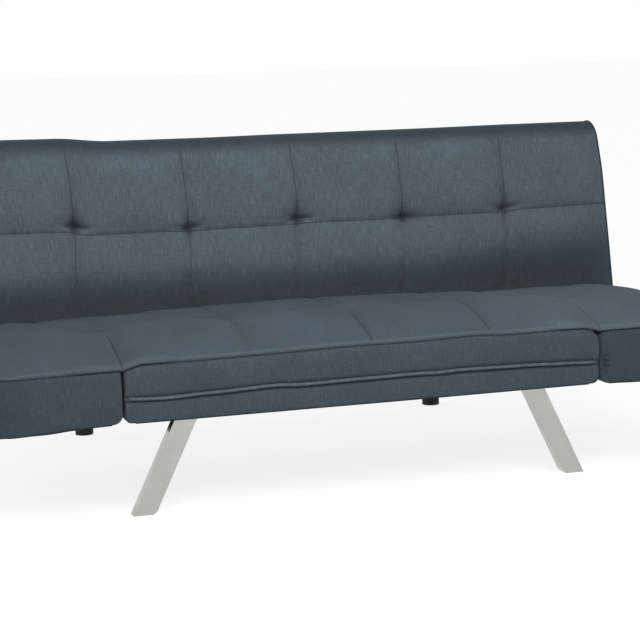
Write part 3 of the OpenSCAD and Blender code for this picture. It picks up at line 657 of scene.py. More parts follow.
@dataclass
class Pad:
    """A stuffed piece: a box of cloth that is formed, blown up against its sewn lines and stitched."""

    name: str
    body: str
    low: Vector
    high: Vector
    place: Matrix = field(default_factory=Matrix)
    lines_x: tuple[float, ...] = ()
    lines_y: tuple[float, ...] = ()
    lines_z: tuple[float, ...] = ()
    pitch: float = 0.014
    pressure: float = 4.0
    slack: float = 0.012
    cap: float = 0.006
    frames: int = 20
    panel_shift: tuple[float, float] = (0.37, 0.61)

    def form(self, p: Vector) -> Vector:
        """Where a point of the flat box goes in the filled shape."""
        return p.copy()

    def held(self, p: Vector) -> float:
        """How firmly frame and thread hold the cloth at a point of the box, from 0 to 1."""
        return 0.0

    def stitch(self, p: Vector) -> Vector:
        """How far thread and tufts pull the cloth at a point of the box."""
        return Vector()

    def marks(self, p: Vector) -> Marks:
        """What shows of sewing and use at a point of the box."""
        return Marks()

    def box_of_cloth(self) -> bmesh.types.BMesh:
        """Lays the cloth out as a closed box, cut into cells along the sewn lines.

        Returns:
            The box, with a UV map in metres.
        """
        bm = bmesh.new()
        bmesh.ops.create_grid(bm, x_segments=1, y_segments=1, size=0.5)
        size, middle = self.high - self.low, (self.high + self.low) / 2
        rows = ((0, 0, 0, self.low.x), (size.y, 0, 0, middle.y), (0, size.z, 0, middle.z), (0, 0, 0, 1))
        upright = Matrix(rows)
        bmesh.ops.transform(bm, matrix=upright, verts=bm.verts)
        for axis, marks in ((1, self.lines_y), (2, self.lines_z)):
            normal = Vector((0, axis == 1, axis == 2))
            for place in stations(self.low[axis], self.high[axis], self.pitch, marks)[1:-1]:
                geometry = bm.verts[:] + bm.edges[:] + bm.faces[:]
                bmesh.ops.bisect_plane(bm, geom=geometry, dist=1e-6, plane_co=normal * place, plane_no=normal)
        end_panel = bm.faces[:]
        rim = [edge for edge in bm.edges if edge.is_boundary]
        xs = stations(self.low.x, self.high.x, self.pitch, self.lines_x)
        for start, stop in zip(xs, xs[1:]):
            made = bmesh.ops.extrude_edge_only(bm, edges=rim)["geom"]
            moved = {part for part in made if isinstance(part, bmesh.types.BMVert)}
            bmesh.ops.translate(bm, vec=(stop - start, 0, 0), verts=list(moved))
            edges = (part for part in made if isinstance(part, bmesh.types.BMEdge))
            rim = [edge for edge in edges if moved.issuperset(edge.verts)]
        copied = bmesh.ops.duplicate(bm, geom=end_panel)["geom"]
        verts = [part for part in copied if isinstance(part, bmesh.types.BMVert)]
        bmesh.ops.translate(bm, vec=(size.x, 0, 0), verts=verts)
        bmesh.ops.remove_doubles(bm, verts=bm.verts, dist=1e-5)
        bmesh.ops.recalc_face_normals(bm, faces=bm.faces)
        self.lay_pattern(bm)
        return bm

    def lay_pattern(self, bm: bmesh.types.BMesh) -> None:
        """Gives each panel of the box its own straight run of cloth, in metres.

        Args:
            bm: the piece's mesh.
        """
        cloth = bm.loops.layers.uv.new("cloth")
        shift_across, shift_up = self.panel_shift
        for face in bm.faces:
            side = max(range(3), key=lambda axis: abs(face.normal[axis]))
            across, up = ((1, 2), (0, 2), (0, 1))[side]
            for loop in face.loops:
                spot = loop.vert.co
                loop[cloth].uv = (spot[across] + shift_across * side, spot[up] + shift_up * side)

    def fill(self, piece: bpy.types.Object, plan: list[Vector]) -> None:
        """Presses air into the cloth, and keeps how it swells and puckers up to the cap.

        Args:
            piece: the formed piece.
            plan: the box's point behind each of its vertices.
        """
        group = piece.vertex_groups.new(name="held")
        for index, p in enumerate(plan):
            group.add([index], self.held(p), "REPLACE")
        cloth = piece.modifiers.new("air", "CLOTH")
        settings = cloth.settings
        settings.quality = 4
        settings.mass = 0.25
        settings.tension_stiffness = 12
        settings.compression_stiffness = 12
        settings.shear_stiffness = 4
        settings.bending_stiffness = 0.3
        settings.use_pressure = True
        settings.uniform_pressure_force = self.pressure
        settings.shrink_min = -self.slack
        settings.vertex_group_mass = "held"
        settings.effector_weights.gravity = 0
        cloth.collision_settings.use_collision = False
        cloth.point_cache.frame_start = 1
        cloth.point_cache.frame_end = self.frames
        scene = bpy.context.scene
        for step in range(1, self.frames + 1):
            scene.frame_set(step)
        swollen = evaluated(piece, piece.name + "_swollen")
        for vertex, moved in zip(piece.data.vertices, swollen.vertices):
            shift = moved.co - vertex.co
            if shift.length > self.cap:
                shift = shift * (self.cap / shift.length)
            vertex.co = vertex.co + shift
        bpy.data.meshes.remove(swollen)
        piece.modifiers.remove(cloth)
        piece.vertex_groups.clear()
        scene.frame_set(1)

    def build(self, finish: bpy.types.Material, replaced: tuple[str, ...]) -> bpy.types.Object:
        """Makes the piece and dresses it.

        Args:
            finish: its cloth.
            replaced: the CAD nodes that it stands for.

        Returns:
            The finished piece.
        """
        bm = self.box_of_cloth()
        bm.verts.ensure_lookup_table()
        plan = [vertex.co.copy() for vertex in bm.verts]
        for vertex in bm.verts:
            vertex.co = self.form(vertex.co)
        piece = make_object(self.name, bm)
        self.fill(piece, plan)
        for vertex, p in zip(piece.data.vertices, plan):
            vertex.co = vertex.co + self.stitch(p)
        shown = [self.marks(p) for p in plan]
        for field_name in Marks._fields:
            values = piece.data.attributes.new(field_name, "FLOAT", "POINT")
            values.data.foreach_set("value", [getattr(marks, field_name) for marks in shown])
        self.trim(piece)
        piece.data.transform(self.place)
        piece.data.materials.append(finish)
        finer = piece.modifiers.new("finer", "SUBSURF")
        finer.levels = finer.render_levels = 1
        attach(piece, self.body)
        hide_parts(*replaced)
        log.info("%s: %d cells of cloth", self.name, len(piece.data.polygons))
        return piece

    def trim(self, piece: bpy.types.Object) -> None:
        """Cuts openings in the finished cloth; a plain pad has none."""


@dataclass
class SeatTop:
    """The stuffed surface that runs on over the seat and both end sections, as heights at each place."""

    front: float
    rear: float
    fold: float
    row: float = -0.205
    tufts: tuple[float, ...] = (-0.574, -0.278, 0.006, 0.289, 0.570)
    roll: float = 0.013
    rear_roll: float = 0.009
    hinge_height: float = 0.336
    hinge_room: float = 0.005
    hinge_flat: float = 0.003
    fold_slopes: tuple[float, float] = (0.785, 0.715)
    valley: float = 0.388
    valley_fall: float = 0.005
    front_crown: float = 0.0240
    crown_fall: float = 0.0025
    rear_crown: float = 0.0075
    rear_crown_end: float = 0.02
    seam_pinch: Peak = Peak(0.15, 0.050)
    fold_pinch: Peak = Peak(0.34, 0.055)
    tuft_pit: Peak = Peak(0.0140, 0.022)
    tuft_dish: Peak = Peak(0.0085, 0.060)
    seam_tie: Peak = Peak(0.0025, 0.034)
    seam_dip: Peak = Peak(0.002, 0.018)
    seam_run: Knots = (
        (-0.84, 0.3335),
        (-0.74, 0.3305),
        (-0.563, 0.3320),
        (-0.515, 0.3425),
        (-0.40, 0.3430),
        (-0.25, 0.3450),
        (-0.05, 0.3485),
        (0.10, 0.3480),
        (0.25, 0.3512),
        (0.34, 0.3475),
        (0.46, 0.3490),
        (0.515, 0.3478),
        (0.570, 0.3395),
        (0.84, 0.3405),
    )
    rest_run: Knots = (
        (-0.84, 0.369),
        (-0.74, 0.372),
        (-0.52, 0.3765),
        (-0.36, 0.3785),
        (-0.16, 0.3820),
        (-0.01, 0.3835),
        (0.16, 0.3815),
        (0.32, 0.3760),
        (0.45, 0.3735),
        (0.62, 0.3745),
        (0.84, 0.367),
    )

    def from_fold(self, x: float) -> float:
        """Distance from the nearest fold line, and less than nothing out on an end section."""
        return self.fold - abs(x)

    def from_tuft(self, x: float, y: float) -> float:
        """Distance from the nearest tuft."""
        return min(math.hypot(x - tuft, y - self.row) for tuft in self.tufts)

    def front_seam(self, x: float) -> float:
        """Height of the seam between top and front at a place along the sofa."""
        return along(self.seam_run, x)

    def height(self, x: float, y: float) -> float:
        """Height of the stuffed top at a place, with its crowns, cross seams and tufts.

        Args:
            x: the place along the sofa.
            y: the place from front to rear.

        Returns:
            The height over the floor.
        """
        section = ramp(-0.05, 0.05, -self.from_fold(x))
        edge = self.front_seam(x) + self.roll - 0.0005
        valley = self.valley - self.valley_fall * section
        near = min(abs(x - tuft) for tuft in self.tufts)
        pinch = 1 - self.seam_pinch.at(near) - self.fold_pinch.at(self.from_fold(x))
        if y < self.row:
            t = (y - self.front) / (self.row - self.front)
            base = edge + (valley - edge) * ramp(0, 1, t) ** 0.8
            rise = (self.front_crown - self.crown_fall * section) * crown(t) * pinch
        else:
            t = (y - self.row) / (self.rear_crown_end - self.row)
            base = valley + (along(self.rest_run, x) - valley) * ramp(0, 1, t)
            rise = self.rear_crown * crown(t, 0.9) * pinch
        tuft = math.hypot(near, y - self.row)
        pulled = self.tuft_pit.at(tuft) + self.tuft_dish.at(tuft)
        pulled += self.seam_tie.at(near) * bell(y - self.row, 0.006)
        uneven = 0.0009 * drift(x, y, 9.7, 0.13) * ramp(0, 0.05, y - self.front)
        return base + rise - pulled + uneven - self.seam_dip.at(near) * crown(t)

    def painted_shade(self, x: float) -> float:
        """Painted shade on the top at a place along the sofa: least towards the right."""
        return 0.42 * (1 - 0.85 * ramp(0.28, 0.48, x))

    def fold_limit(self, x: float) -> float:
        """Greatest height that leaves an end section free to fold up about its hinge.

        Args:
            x: the place along the sofa.

        Returns:
            The height over the floor.
        """
        inward = self.from_fold(x)
        slope = self.fold_slopes[0 if inward > 0 else 1]
        return self.hinge_height - self.hinge_room + slope * max(abs(inward) - self.hinge_flat, 0.0)


@dataclass(frozen=True)
class Crease:
    """A short upright crease in a front panel, under the seam of the top."""

    x: float
    length: float
    depth: float


@dataclass(frozen=True)
class Gather:
    """A patch of puckered cloth, where thread has drawn a panel in beside a slot, with painted shade in its
    puckers.
    """

    x: float
    z: float
    width: float
    height: float
    depth: float
    pitch: float = 0.0020
    lean: float = 70


@dataclass
class SeatSection(Pad):
    """The seat, or one of the end sections that fold up from it."""

    top: SeatTop | None = None
    welt_run: Knots | None = None
    underside_run: Knots = ((0.0, 0.219), (1.0, 0.219))
    folds: tuple[bool, bool] = (True, True)
    plan_corner: float = 0.068
    under_corner: float = 0.0215
    edge: float = 0.013
    side_edge: float = 0.0045
    creases: tuple[Crease, ...] = ()
    gather: Gather | None = None
    # Painted shade on the boxing panels below the top seam
    panel_shade: float = 0.58
    outer_fall: float = 0.012
    seam_fall: float = 0.004
    fall_length: float = 0.11
    seam_room: float = 0.002
    bulge: float = 0.0042
    lower_bulge: float = 0.0026
    upper_bulge: float = 0.0056
    crease_width: float = 0.0032
    edge_run: float = 0.035
    lower_edge: float = 0.005
    tuft_hold: float = 0.012
    rear_hold: float = 0.012
    rim_hold: float = 0.010
    fold_hold: tuple[float, float] = (0.125, 0.165)
    welt_half: float = 0.0046
    sewn_hold: Peak = Peak(0.9, 0.006)
    cross_seam: Peak = Peak(0.0020, 0.0042)
    row_seam: Peak = Peak(0.0016, 0.0050)
    top_seam: Peak = Peak(0.0032, 0.0042)
    welt_groove: Peak = Peak(0.0024, 0.0030)
    welt_mark: Peak = Peak(0.7, 0.0014)
    cross_mark: Peak = Peak(0.85, 0.0015)
    # Painted shade in the crease along the row of tufts
    crease_shade: Peak = Peak(0.5, 0.0040)
    row_mark: Peak = Peak(0.30, 0.0016)
    # Painted shade in each tuft's dimple
    tuft_shade: Peak = Peak(0.4, 0.010)

    def seam_line(self) -> float:
        """Height in the box of the seam round the top."""
        return self.high.z - self.edge

    def ends(self, p: Vector) -> tuple[float, bool]:
        """Distance to the nearer end, and whether that end meets a fold."""
        left, right = p.x - self.low.x, self.high.x - p.x
        return (left, self.folds[0]) if left < right else (right, self.folds[1])

    def walled(self, p: Vector) -> bool:
        """Whether a point of the box is on its front, its rear or its outer end."""
        end, at_fold = self.ends(p)
        return p.y < self.low.y + ON_SIDE or p.y > self.high.y - ON_SIDE or (end < ON_SIDE and not at_fold)

    def rounded(self, p: Vector) -> Vector:
        """Rounds the box's edges and then its outer corners seen from above.

        Args:
            p: a point of the box.

        Returns:
            The point on the rounded box.
        """
        line = self.seam_line()
        across = self.side_edge + (self.edge - self.side_edge) * ramp(line - self.edge_run, line, p.z)
        up = self.lower_edge if p.z < (self.low.z + self.high.z) / 2 else self.edge
        at_fold = self.ends(p)[1]
        reach = Vector((self.side_edge if at_fold else across, across, up))
        core_low, core_high = self.low + reach, self.high - reach
        core = Vector(min(max(p[i], core_low[i]), core_high[i]) for i in range(3))
        away = Vector((p[i] - core[i]) / reach[i] for i in range(3))
        if away.length > 1e-9:
            away *= max(abs(part) for part in away) / away.length
        q = core + Vector(away[i] * reach[i] for i in range(3))
        corner = self.plan_corner
        for is_right, fold in ((False, self.folds[0]), (True, self.folds[1])):
            if fold:
                continue
            dx = (self.high.x - q.x) if is_right else (q.x - self.low.x)
            for is_rear in (False, True):
                dy = (self.high.y - q.y) if is_rear else (q.y - self.low.y)
                du, dv = rounded(dx, dy, corner)
                q.x = self.high.x - du if is_right else self.low.x + du
                q.y = self.high.y - dv if is_rear else self.low.y + dv
        return q

    def form(self, p: Vector) -> Vector:
        """Places a point of the box on the stuffed section.

        Args:
            p: a point of the box.

        Returns:
            The point on the section.
        """
        q = self.rounded(p)
        end, at_fold = self.ends(q)
        top, seam = self.top.height(q.x, q.y), self.top.front_seam(q.x)
        if q.y > self.top.row:
            rearward = ramp(self.top.row, self.top.rear, q.y)
            seam += (top - self.top.rear_roll - self.seam_room - seam) * rearward
        bottom = along(self.underside_run, q.x)
        if at_fold:
            limit = self.top.fold_limit(q.x)
            top = min(top, limit)
            seam = min(seam, limit - self.seam_room)
            bottom += fillet(end, self.under_corner)
        else:
            outward = 1 - ramp(0.0, self.fall_length, end)
            top -= self.outer_fall * outward
            seam -= self.seam_fall * outward
        levels = [(self.low.z, bottom), (self.seam_line(), seam), (self.high.z, top)]
        if self.welt_run:
            levels.insert(1, (self.lines_z[1], along(self.welt_run, q.x)))
        for (start, lower), (stop, upper) in zip(levels, levels[1:]):
            if q.z <= stop:
                break
        z = lower + (q.z - start) / (stop - start) * (upper - lower)
        return Vector((q.x, q.y - self.front_bulge(p), z))

    def front_bulge(self, p: Vector) -> float:
        """How far the front panel swells out at a point of the box.

        Args:
            p: a point of the box.

        Returns:
            The distance forwards.
        """
        if p.y > self.low.y + 0.001 or p.z > self.seam_line():
            return 0.0
        low, high, full = self.low.z, self.seam_line(), self.bulge
        if self.welt_run:
            split = self.lines_z[1]
            if p.z < split:
                high, full = split, self.lower_bulge
            else:
                low, full = split, self.upper_bulge
        uneven = 1 + 0.25 * drift(p.x, p.z, 1.7, 0.10)
        return full * crown((p.z - low) / (high - low), 0.6) * uneven

    def held(self, p: Vector) -> float:
        """Holds the boxing to the frame and lets only the top swell.

        Args:
            p: a point of the box.

        Returns:
            The hold, from 0 to 1.
        """
        end, at_fold = self.ends(p)
        if p.z < self.high.z - ON_SIDE:
            return 1.0
        tuft = self.top.from_tuft(p.x, p.y)
        if tuft < self.tuft_hold or p.y > self.high.y - self.rear_hold:
            return 1.0
        if p.y < self.low.y + self.rim_hold or end < self.rim_hold:
            return 1.0
        across = off(p.x, self.lines_x)
        rear = 1 - 0.75 * ramp(self.top.row, self.top.row + 0.08, p.y)
        spread = 1 - ramp(*self.fold_hold, end) if at_fold else 0.0
        return max(self.sewn_hold.at(across) * rear, self.sewn_hold.at(p.y - self.top.row), spread)

    def seam_strength(self, p: Vector) -> float:
        """How clearly the nearest cross seam of the top shows: clearest in front and towards the right."""
        return (0.45 + 0.55 * ramp(-0.30, 0.0, p.x)) * (1 - ramp(-0.34, -0.24, p.y))

    def stitch(self, p: Vector) -> Vector:
        """Draws in the top seam, the cross seams, the creases, the gathers and the welt's line.

        Args:
            p: a point of the box.

        Returns:
            The shift.
        """
        shift = Vector()
        if p.z > self.high.z - ON_SIDE:
            across = off(p.x, self.lines_x)
            shift.z -= self.cross_seam.at(across) * self.seam_strength(p)
            shift.z -= self.row_seam.at(abs(p.y - self.top.row))
            shift.x += 0.0022 * drift(p.y, p.x, 6.1, 0.09) * bell(across, 0.03)
        if not self.walled(p):
            return shift
        front, rear = p.y < self.low.y + ON_SIDE, p.y > self.high.y - ON_SIDE
        pull = self.top_seam.at(p.z - self.seam_line())
        if front:
            if self.welt_run:
                pull += self.welt_groove.at(abs(p.z - self.lines_z[1]) - self.welt_half)
            for crease in self.creases:
                below = self.seam_line() - p.z
                fade = ramp(-0.002, 0.004, below) * (1 - ramp(crease.length * 0.4, crease.length, below))
                pull += crease.depth * bell(p.x - crease.x, self.crease_width) * fade
            pull += self.gathered(p)
            shift.y += pull
        elif rear:
            shift.y -= pull
        else:
            shift.x += pull if p.x < (self.low.x + self.high.x) / 2 else -pull
        return shift

    def gathered(self, p: Vector) -> float:
        """How far the gathers draw the front panel in at a point of the box.

        Args:
            p: a point of the box.

        Returns:
            The distance inwards.
        """
        if self.gather is None:
            return 0.0
        spot = self.gather
        near = bell(p.x - spot.x, spot.width) * bell(p.z - spot.z, spot.height)
        folds = 0.5 + 0.5 * math.sin((p.z - spot.z) / spot.pitch + spot.lean * (p.x - spot.x))
        return spot.depth * near * (0.35 + 0.65 * folds)

    def marks(self, p: Vector) -> Marks:
        """Shows the seam round the top and the cross seams, with painted shade on the top and the boxing
        panels, a painted highlight on the rolled edge above the front, and painted shade in the gathers, the
        crease by the tufts and the tuft dimples.

        Args:
            p: a point of the box.

        Returns:
            The marks there.
        """
        sewn, edge_highlight = 0.0, 0.0
        # Painted shade: on the top, less towards the right, and darker on the boxing panels below the top
        # seam
        painted_shade = self.top.painted_shade(p.x)
        if self.walled(p):
            painted_shade += (self.panel_shade - painted_shade) * (1 - ramp(-0.002, 0.002, p.z - self.seam_line()))
            sewn = bell(p.z - self.seam_line(), 0.0019)
            # Painted highlight along the rolled top edge
            edge_highlight = bell(p.z - (self.high.z - 0.004), 0.005)
            if p.y < self.low.y + ON_SIDE:
                if self.welt_run:
                    offset = p.z - self.lines_z[1]
                    lower = bell(offset + 0.0052, 0.0017)
                    sewn = max(sewn, 0.95 * lower, self.welt_mark.at(offset - 0.0050))
                # Painted shade in the gather's puckers
                if self.gather:
                    sewn = max(sewn, min(1.5 * self.gathered(p) / self.gather.depth, 1.0) * 0.75)
        elif p.z > self.high.z - ON_SIDE:
            near = off(p.x, self.lines_x)
            sewn = self.cross_mark.at(near) * self.seam_strength(p)
            tuft = self.top.from_tuft(p.x, p.y)
            # Painted shade in the crease by each tuft and in the tuft's dimple
            crease = self.crease_shade.at(p.y - self.top.row) * bell(tuft, 0.026)
            sewn = max(sewn, self.row_mark.at(p.y - self.top.row), crease, self.tuft_shade.at(tuft))
        return Marks(min(sewn, 1.0), edge_highlight, painted_shade, ramp(self.seam_line(), self.high.z, p.z))


@dataclass(frozen=True)
class Tuft:
    """A deep stitch that pinches the backrest's face, and the upright seam through it."""

    x: float
    z: float
    depth: float
    turn: float
    lean: float
    below: float


@dataclass
class Backrest(Pad):
    """The long tufted backrest, laid out upright on its pivot and then leant back."""

    tufts: tuple[Tuft, ...] = (
        Tuft(-0.5485, 0.2900, 0.0185, 0.25, 0.014, 0.95),
        Tuft(-0.2680, 0.2795, 0.0165, -0.30, 0.012, 0.90),
        Tuft(0.0110, 0.2850, 0.0180, 0.10, 0.010, 0.50),
        Tuft(0.2890, 0.2756, 0.0150, 0.45, 0.008, 0.12),
        Tuft(0.5680, 0.2820, 0.0160, -0.15, 0.007, 0.60),
    )
    seam_height: float = 0.272
    seam_run: Knots = (
        (-0.84, 0.2830),
        (-0.73, 0.2810),
        (-0.57, 0.2780),
        (-0.515, 0.2670),
        (-0.40, 0.2665),
        (-0.25, 0.2650),
        (-0.10, 0.2660),
        (0.05, 0.2685),
        (0.20, 0.2670),
        (0.35, 0.2690),
        (0.56, 0.2690),
        (0.62, 0.2735),
        (0.84, 0.2770),
    )
    top_run: Knots = (
        (-0.84, 0.0095),
        (-0.70, 0.0095),
        (-0.58, 0.0080),
        (-0.44, -0.0030),
        (-0.20, -0.004),
        (0.0, -0.003),
        (0.35, -0.003),
        (0.60, -0.0015),
        (0.84, -0.0015),
    )
    toe: float = 0.094
    heel: float = 0.048
    crest: float = 0.069
    brow: float = 0.058
    end_edge: float = 0.003
    end_corner: float = 0.003
    tuck: float = 0.024
    tuck_span: tuple[float, float] = (0.065, 0.180)
    top_span: tuple[float, float] = (0.40, 0.50)
    top_cord: float = 0.074
    full_spread: float = 0.0045
    face_spread: float = 0.0070
    upper_swell: float = 0.0065
    lower_swell: float = 0.0090
    face_room: float = 0.003
    recess: float = 0.0020
    tuft_hold: float = 0.012
    tuft_width: float = 0.0150
    end_hold: float = 0.02
    foot_hold: float = 0.05
    crest_hold: float = 0.03
    # Painted shade on the top band and on the foot towards the seat
    crest_shade: float = 0.95
    foot_shade: float = 0.82
    seam_flat: Peak = Peak(0.30, 0.06)
    sewn_hold: Peak = Peak(0.92, 0.006)
    upright_seam: Peak = Peak(0.0020, 0.0042)
    level_seam: Peak = Peak(0.0023, 0.0045)
    tuft_dish: Peak = Peak(0.0085, 0.036)
    tuft_fold: Peak = Peak(0.0035, 0.0040)
    upright_mark: Peak = Peak(0.80, 0.0015)
    level_mark: Peak = Peak(0.85, 0.0015)
    # Painted shade in each tuft's slit, pleat and pinched middle
    slit_shade: Peak = Peak(0.95, 0.0040)
    pleat_shade: Peak = Peak(0.80, 0.0045)
    pinch_shade: Peak = Peak(0.80, 0.0150)
    rear_panel: tuple[float, float] = (0.020, 0.429)
    slots: tuple[tuple[float, float, float], tuple[float, float, float]] = (
        (0.5148, -0.11, -0.10),
        (0.5375, 0.031, 0.025),
    )

    def form(self, p: Vector) -> Vector:
        """Places a point of the box on the stuffed backrest.

        Args:
            p: a point of the box.

        Returns:
            The point on the backrest.
        """
        y, z = p.y, p.z
        corners = (
            (False, False, self.toe),
            (True, False, self.heel),
            (True, True, self.crest),
            (False, True, self.brow),
        )
        for rear, up, r in corners:
            dy = self.high.y - y if rear else y - self.low.y
            dz = self.high.z - z if up else z - self.low.z
            if dy < r and dz < r:
                dy, dz = rounded(dy, dz, r)
                y = self.high.y - dy if rear else self.low.y + dy
                z = self.high.z - dz if up else self.low.z + dz
                break
        middle_y, middle_z = (self.low.y + self.high.y) / 2, (self.low.z + self.high.z) / 2
        half_y, half_z = (self.high.y - self.low.y) / 2, (self.high.z - self.low.z) / 2
        end = self.high.x - abs(p.x)
        y = middle_y + (y - middle_y) * (1 - fillet(end, self.end_edge) / half_y)
        z = middle_z + (z - middle_z) * (1 - fillet(end, self.end_corner) / half_z)
        off_y, off_z = min(abs((y - middle_y) / half_y), 1), min(abs((z - middle_z) / half_z), 1)
        full = (1 - off_y**2) * (1 - off_z**2)
        facing = ramp(0.4, 1.0, (middle_y - y) / half_y)
        spread = self.full_spread * full + self.face_spread * facing * (1 - ramp(0.34, 0.50, z))
        x = p.x + math.copysign(spread * (1 - ramp(0, 0.05, end)), p.x)
        drawn = self.tuck * (1 - ramp(*self.tuck_span, z)) - self.swell(p.x, z)
        y += drawn * facing * ramp(-0.005, 0.055, end)
        z += along(self.top_run, p.x) * ramp(*self.top_span, z)
        return Vector((x, y, z))

    def swell(self, x: float, z: float) -> float:
        """How far the face stands out between its seams.

        Args:
            x: the place along the sofa.
            z: the height on the box.

        Returns:
            The distance forwards.
        """
        upper = (z - self.seam_height) / (self.high.z - 0.01 - self.seam_height)
        lower = (self.seam_height - z) / (self.seam_height - 0.035)
        if z > self.seam_height:
            rise = self.upper_swell * crown(upper, 0.6)
        else:
            rise = self.lower_swell * crown(lower, 0.7)
        near = min(abs(x - tuft.x) for tuft in self.tufts)
        return rise * (1 - self.seam_flat.at(near)) + 0.0008 * drift(x, z, 4.4, 0.12) - self.face_room

    def held(self, p: Vector) -> float:
        """Holds everything but the face to the frame, and the face along its seams.

        Args:
            p: a point of the box.

        Returns:
            The hold, from 0 to 1.
        """
        off_face = p.y > self.low.y + ON_SIDE or abs(p.x) > self.high.x - self.end_hold
        if off_face or not self.foot_hold <= p.z <= self.high.z - self.crest_hold:
            return 1.0
        tuft = min(math.hypot(p.x - tuft.x, p.z - tuft.z) for tuft in self.tufts)
        if tuft < self.tuft_hold:
            return 1.0
        return self.sewn_hold.at(min(off(p.x, self.lines_x), abs(p.z - self.seam_height)))

    def nearest(self, p: Vector) -> Tuft:
        """The tuft whose upright seam is nearest to a point of the box."""
        return min(self.tufts, key=lambda tuft: abs(p.x - tuft.x))

    def upright(self, p: Vector, tuft: Tuft) -> float:
        """How strongly the upright seam shows at a point's height.

        Args:
            p: a point of the box.
            tuft: the tuft.

        Returns:
            The strength, from 0 to 1.
        """
        if p.z > tuft.z:
            return 1 - 0.8 * ramp(-0.042, -0.012, p.z - self.high.z)
        return tuft.below * (0.5 + 0.5 * ramp(0.10, 0.24, p.z))

    def stitch(self, p: Vector) -> Vector:
        """Draws in the seams and the tufts of the face.

        Args:
            p: a point of the box.

        Returns:
            The shift.
        """
        if p.y > self.high.y - ON_SIDE:
            inside = min(p.z - self.rear_panel[0], self.rear_panel[1] - p.z, self.high.x - 0.030 - abs(p.x))
            return Vector((0, -self.recess * ramp(0.002, 0.014, inside), 0))
        if p.y > self.low.y + ON_SIDE or p.z < -0.01:
            return Vector()
        tuft = self.nearest(p)
        across, over = p.x - tuft.x, p.z - tuft.z
        up = p.z - self.seam_height
        pull = self.upright_seam.at(across) * self.upright(p, tuft) + self.level_seam.at(up)
        reach = math.hypot(across, over)
        turn = math.atan2(over, across)
        pleats = math.cos(4 * turn + tuft.turn) + 0.45 * math.cos(7 * turn + 5 * tuft.turn)
        star = 1 + 0.40 * pleats * ramp(0.006, 0.020, reach)
        pull += tuft.depth * bell(reach, self.tuft_width) * star + self.tuft_dish.at(reach) * star
        pull += self.tuft_fold.at(over) * bell(across, 0.030)
        lean = -tuft.lean * max(over, 0.0) / (self.high.z - tuft.z) + 0.0009 * drift(p.z, tuft.x, 2.9, 0.10)
        lean -= 0.013 * min(max(-over, 0.0) / 0.19, 1.0)
        wave = (along(self.seam_run, p.x) - self.seam_height) * bell(up, 0.05)
        return Vector((lean * bell(across, 0.07), pull, wave))

    def marks(self, p: Vector) -> Marks:
        """Shows the sewn lines, with painted shade in the pinched middle of each tuft, its slit and its
        pleat, and on the top band and the foot.

        Args:
            p: a point of the box.

        Returns:
            The marks there.
        """
        # Painted shade: darker over the top band and towards the seat, where the dark band reaches higher at
        # the right
        rise = (p.z - self.high.z) + 0.9 * (self.low.y - p.y)
        right = ramp(0.25, 0.75, p.x)
        foot = 1 - ramp(0.10 + 0.04 * right, 0.20 + 0.06 * right, p.z)
        painted_shade = self.crest_shade * ramp(-0.060, 0.0, rise) + self.foot_shade * foot
        if p.y > self.low.y + ON_SIDE:
            return Marks(painted_shade=painted_shade if p.y < self.low.y + self.top_cord else 0.0)
        tuft = self.nearest(p)
        across, over = p.x - tuft.x, p.z - tuft.z
        sewn = self.upright_mark.at(across) * self.upright(p, tuft)
        sewn = max(sewn, self.level_mark.at(p.z - self.seam_height))
        # Painted shade in the tuft's slit, pleat and pinched middle
        slit = self.slit_shade.at(across + 0.15 * over) * bell(over, 0.0150)
        pleat = self.pleat_shade.at(over - 0.12 * across) * bell(across + 0.006, 0.0240)
        pinch = self.pinch_shade.at(math.hypot(across, over))
        return Marks(seam=min(max(sewn, slit, pleat, pinch), 1.0), painted_shade=painted_shade)

    def trim(self, piece: bpy.types.Object) -> None:
        """Cuts the two slots through which the steel arms of the mechanism pass.

        Args:
            piece: the piece.
        """
        low, high = Vector(self.slots[0]), Vector(self.slots[1])
        size, middle = high - low, (high + low) / 2
        bm = bmesh.new()
        for side in (-1, 1):
            made = bmesh.ops.create_cube(bm, size=1.0)["verts"]
            bmesh.ops.scale(bm, vec=size, verts=made)
            bmesh.ops.translate(bm, vec=(middle.x * side, middle.y, middle.z), verts=made)
        cutter = make_object("slot_cutter", bm)
        cut = piece.modifiers.new("slots", "BOOLEAN")
        cut.operation = "DIFFERENCE"
        cut.solver = "EXACT"
        cut.object = cutter
        trimmed = evaluated(piece, piece.name)
        piece.modifiers.remove(cut)
        old = piece.data
        piece.data = trimmed
        bpy.data.meshes.remove(old)
        bpy.data.objects.remove(cutter)
        piece.data.shade_smooth()


# ---- Thin cloth: fold strips, welt, piping, panels ----


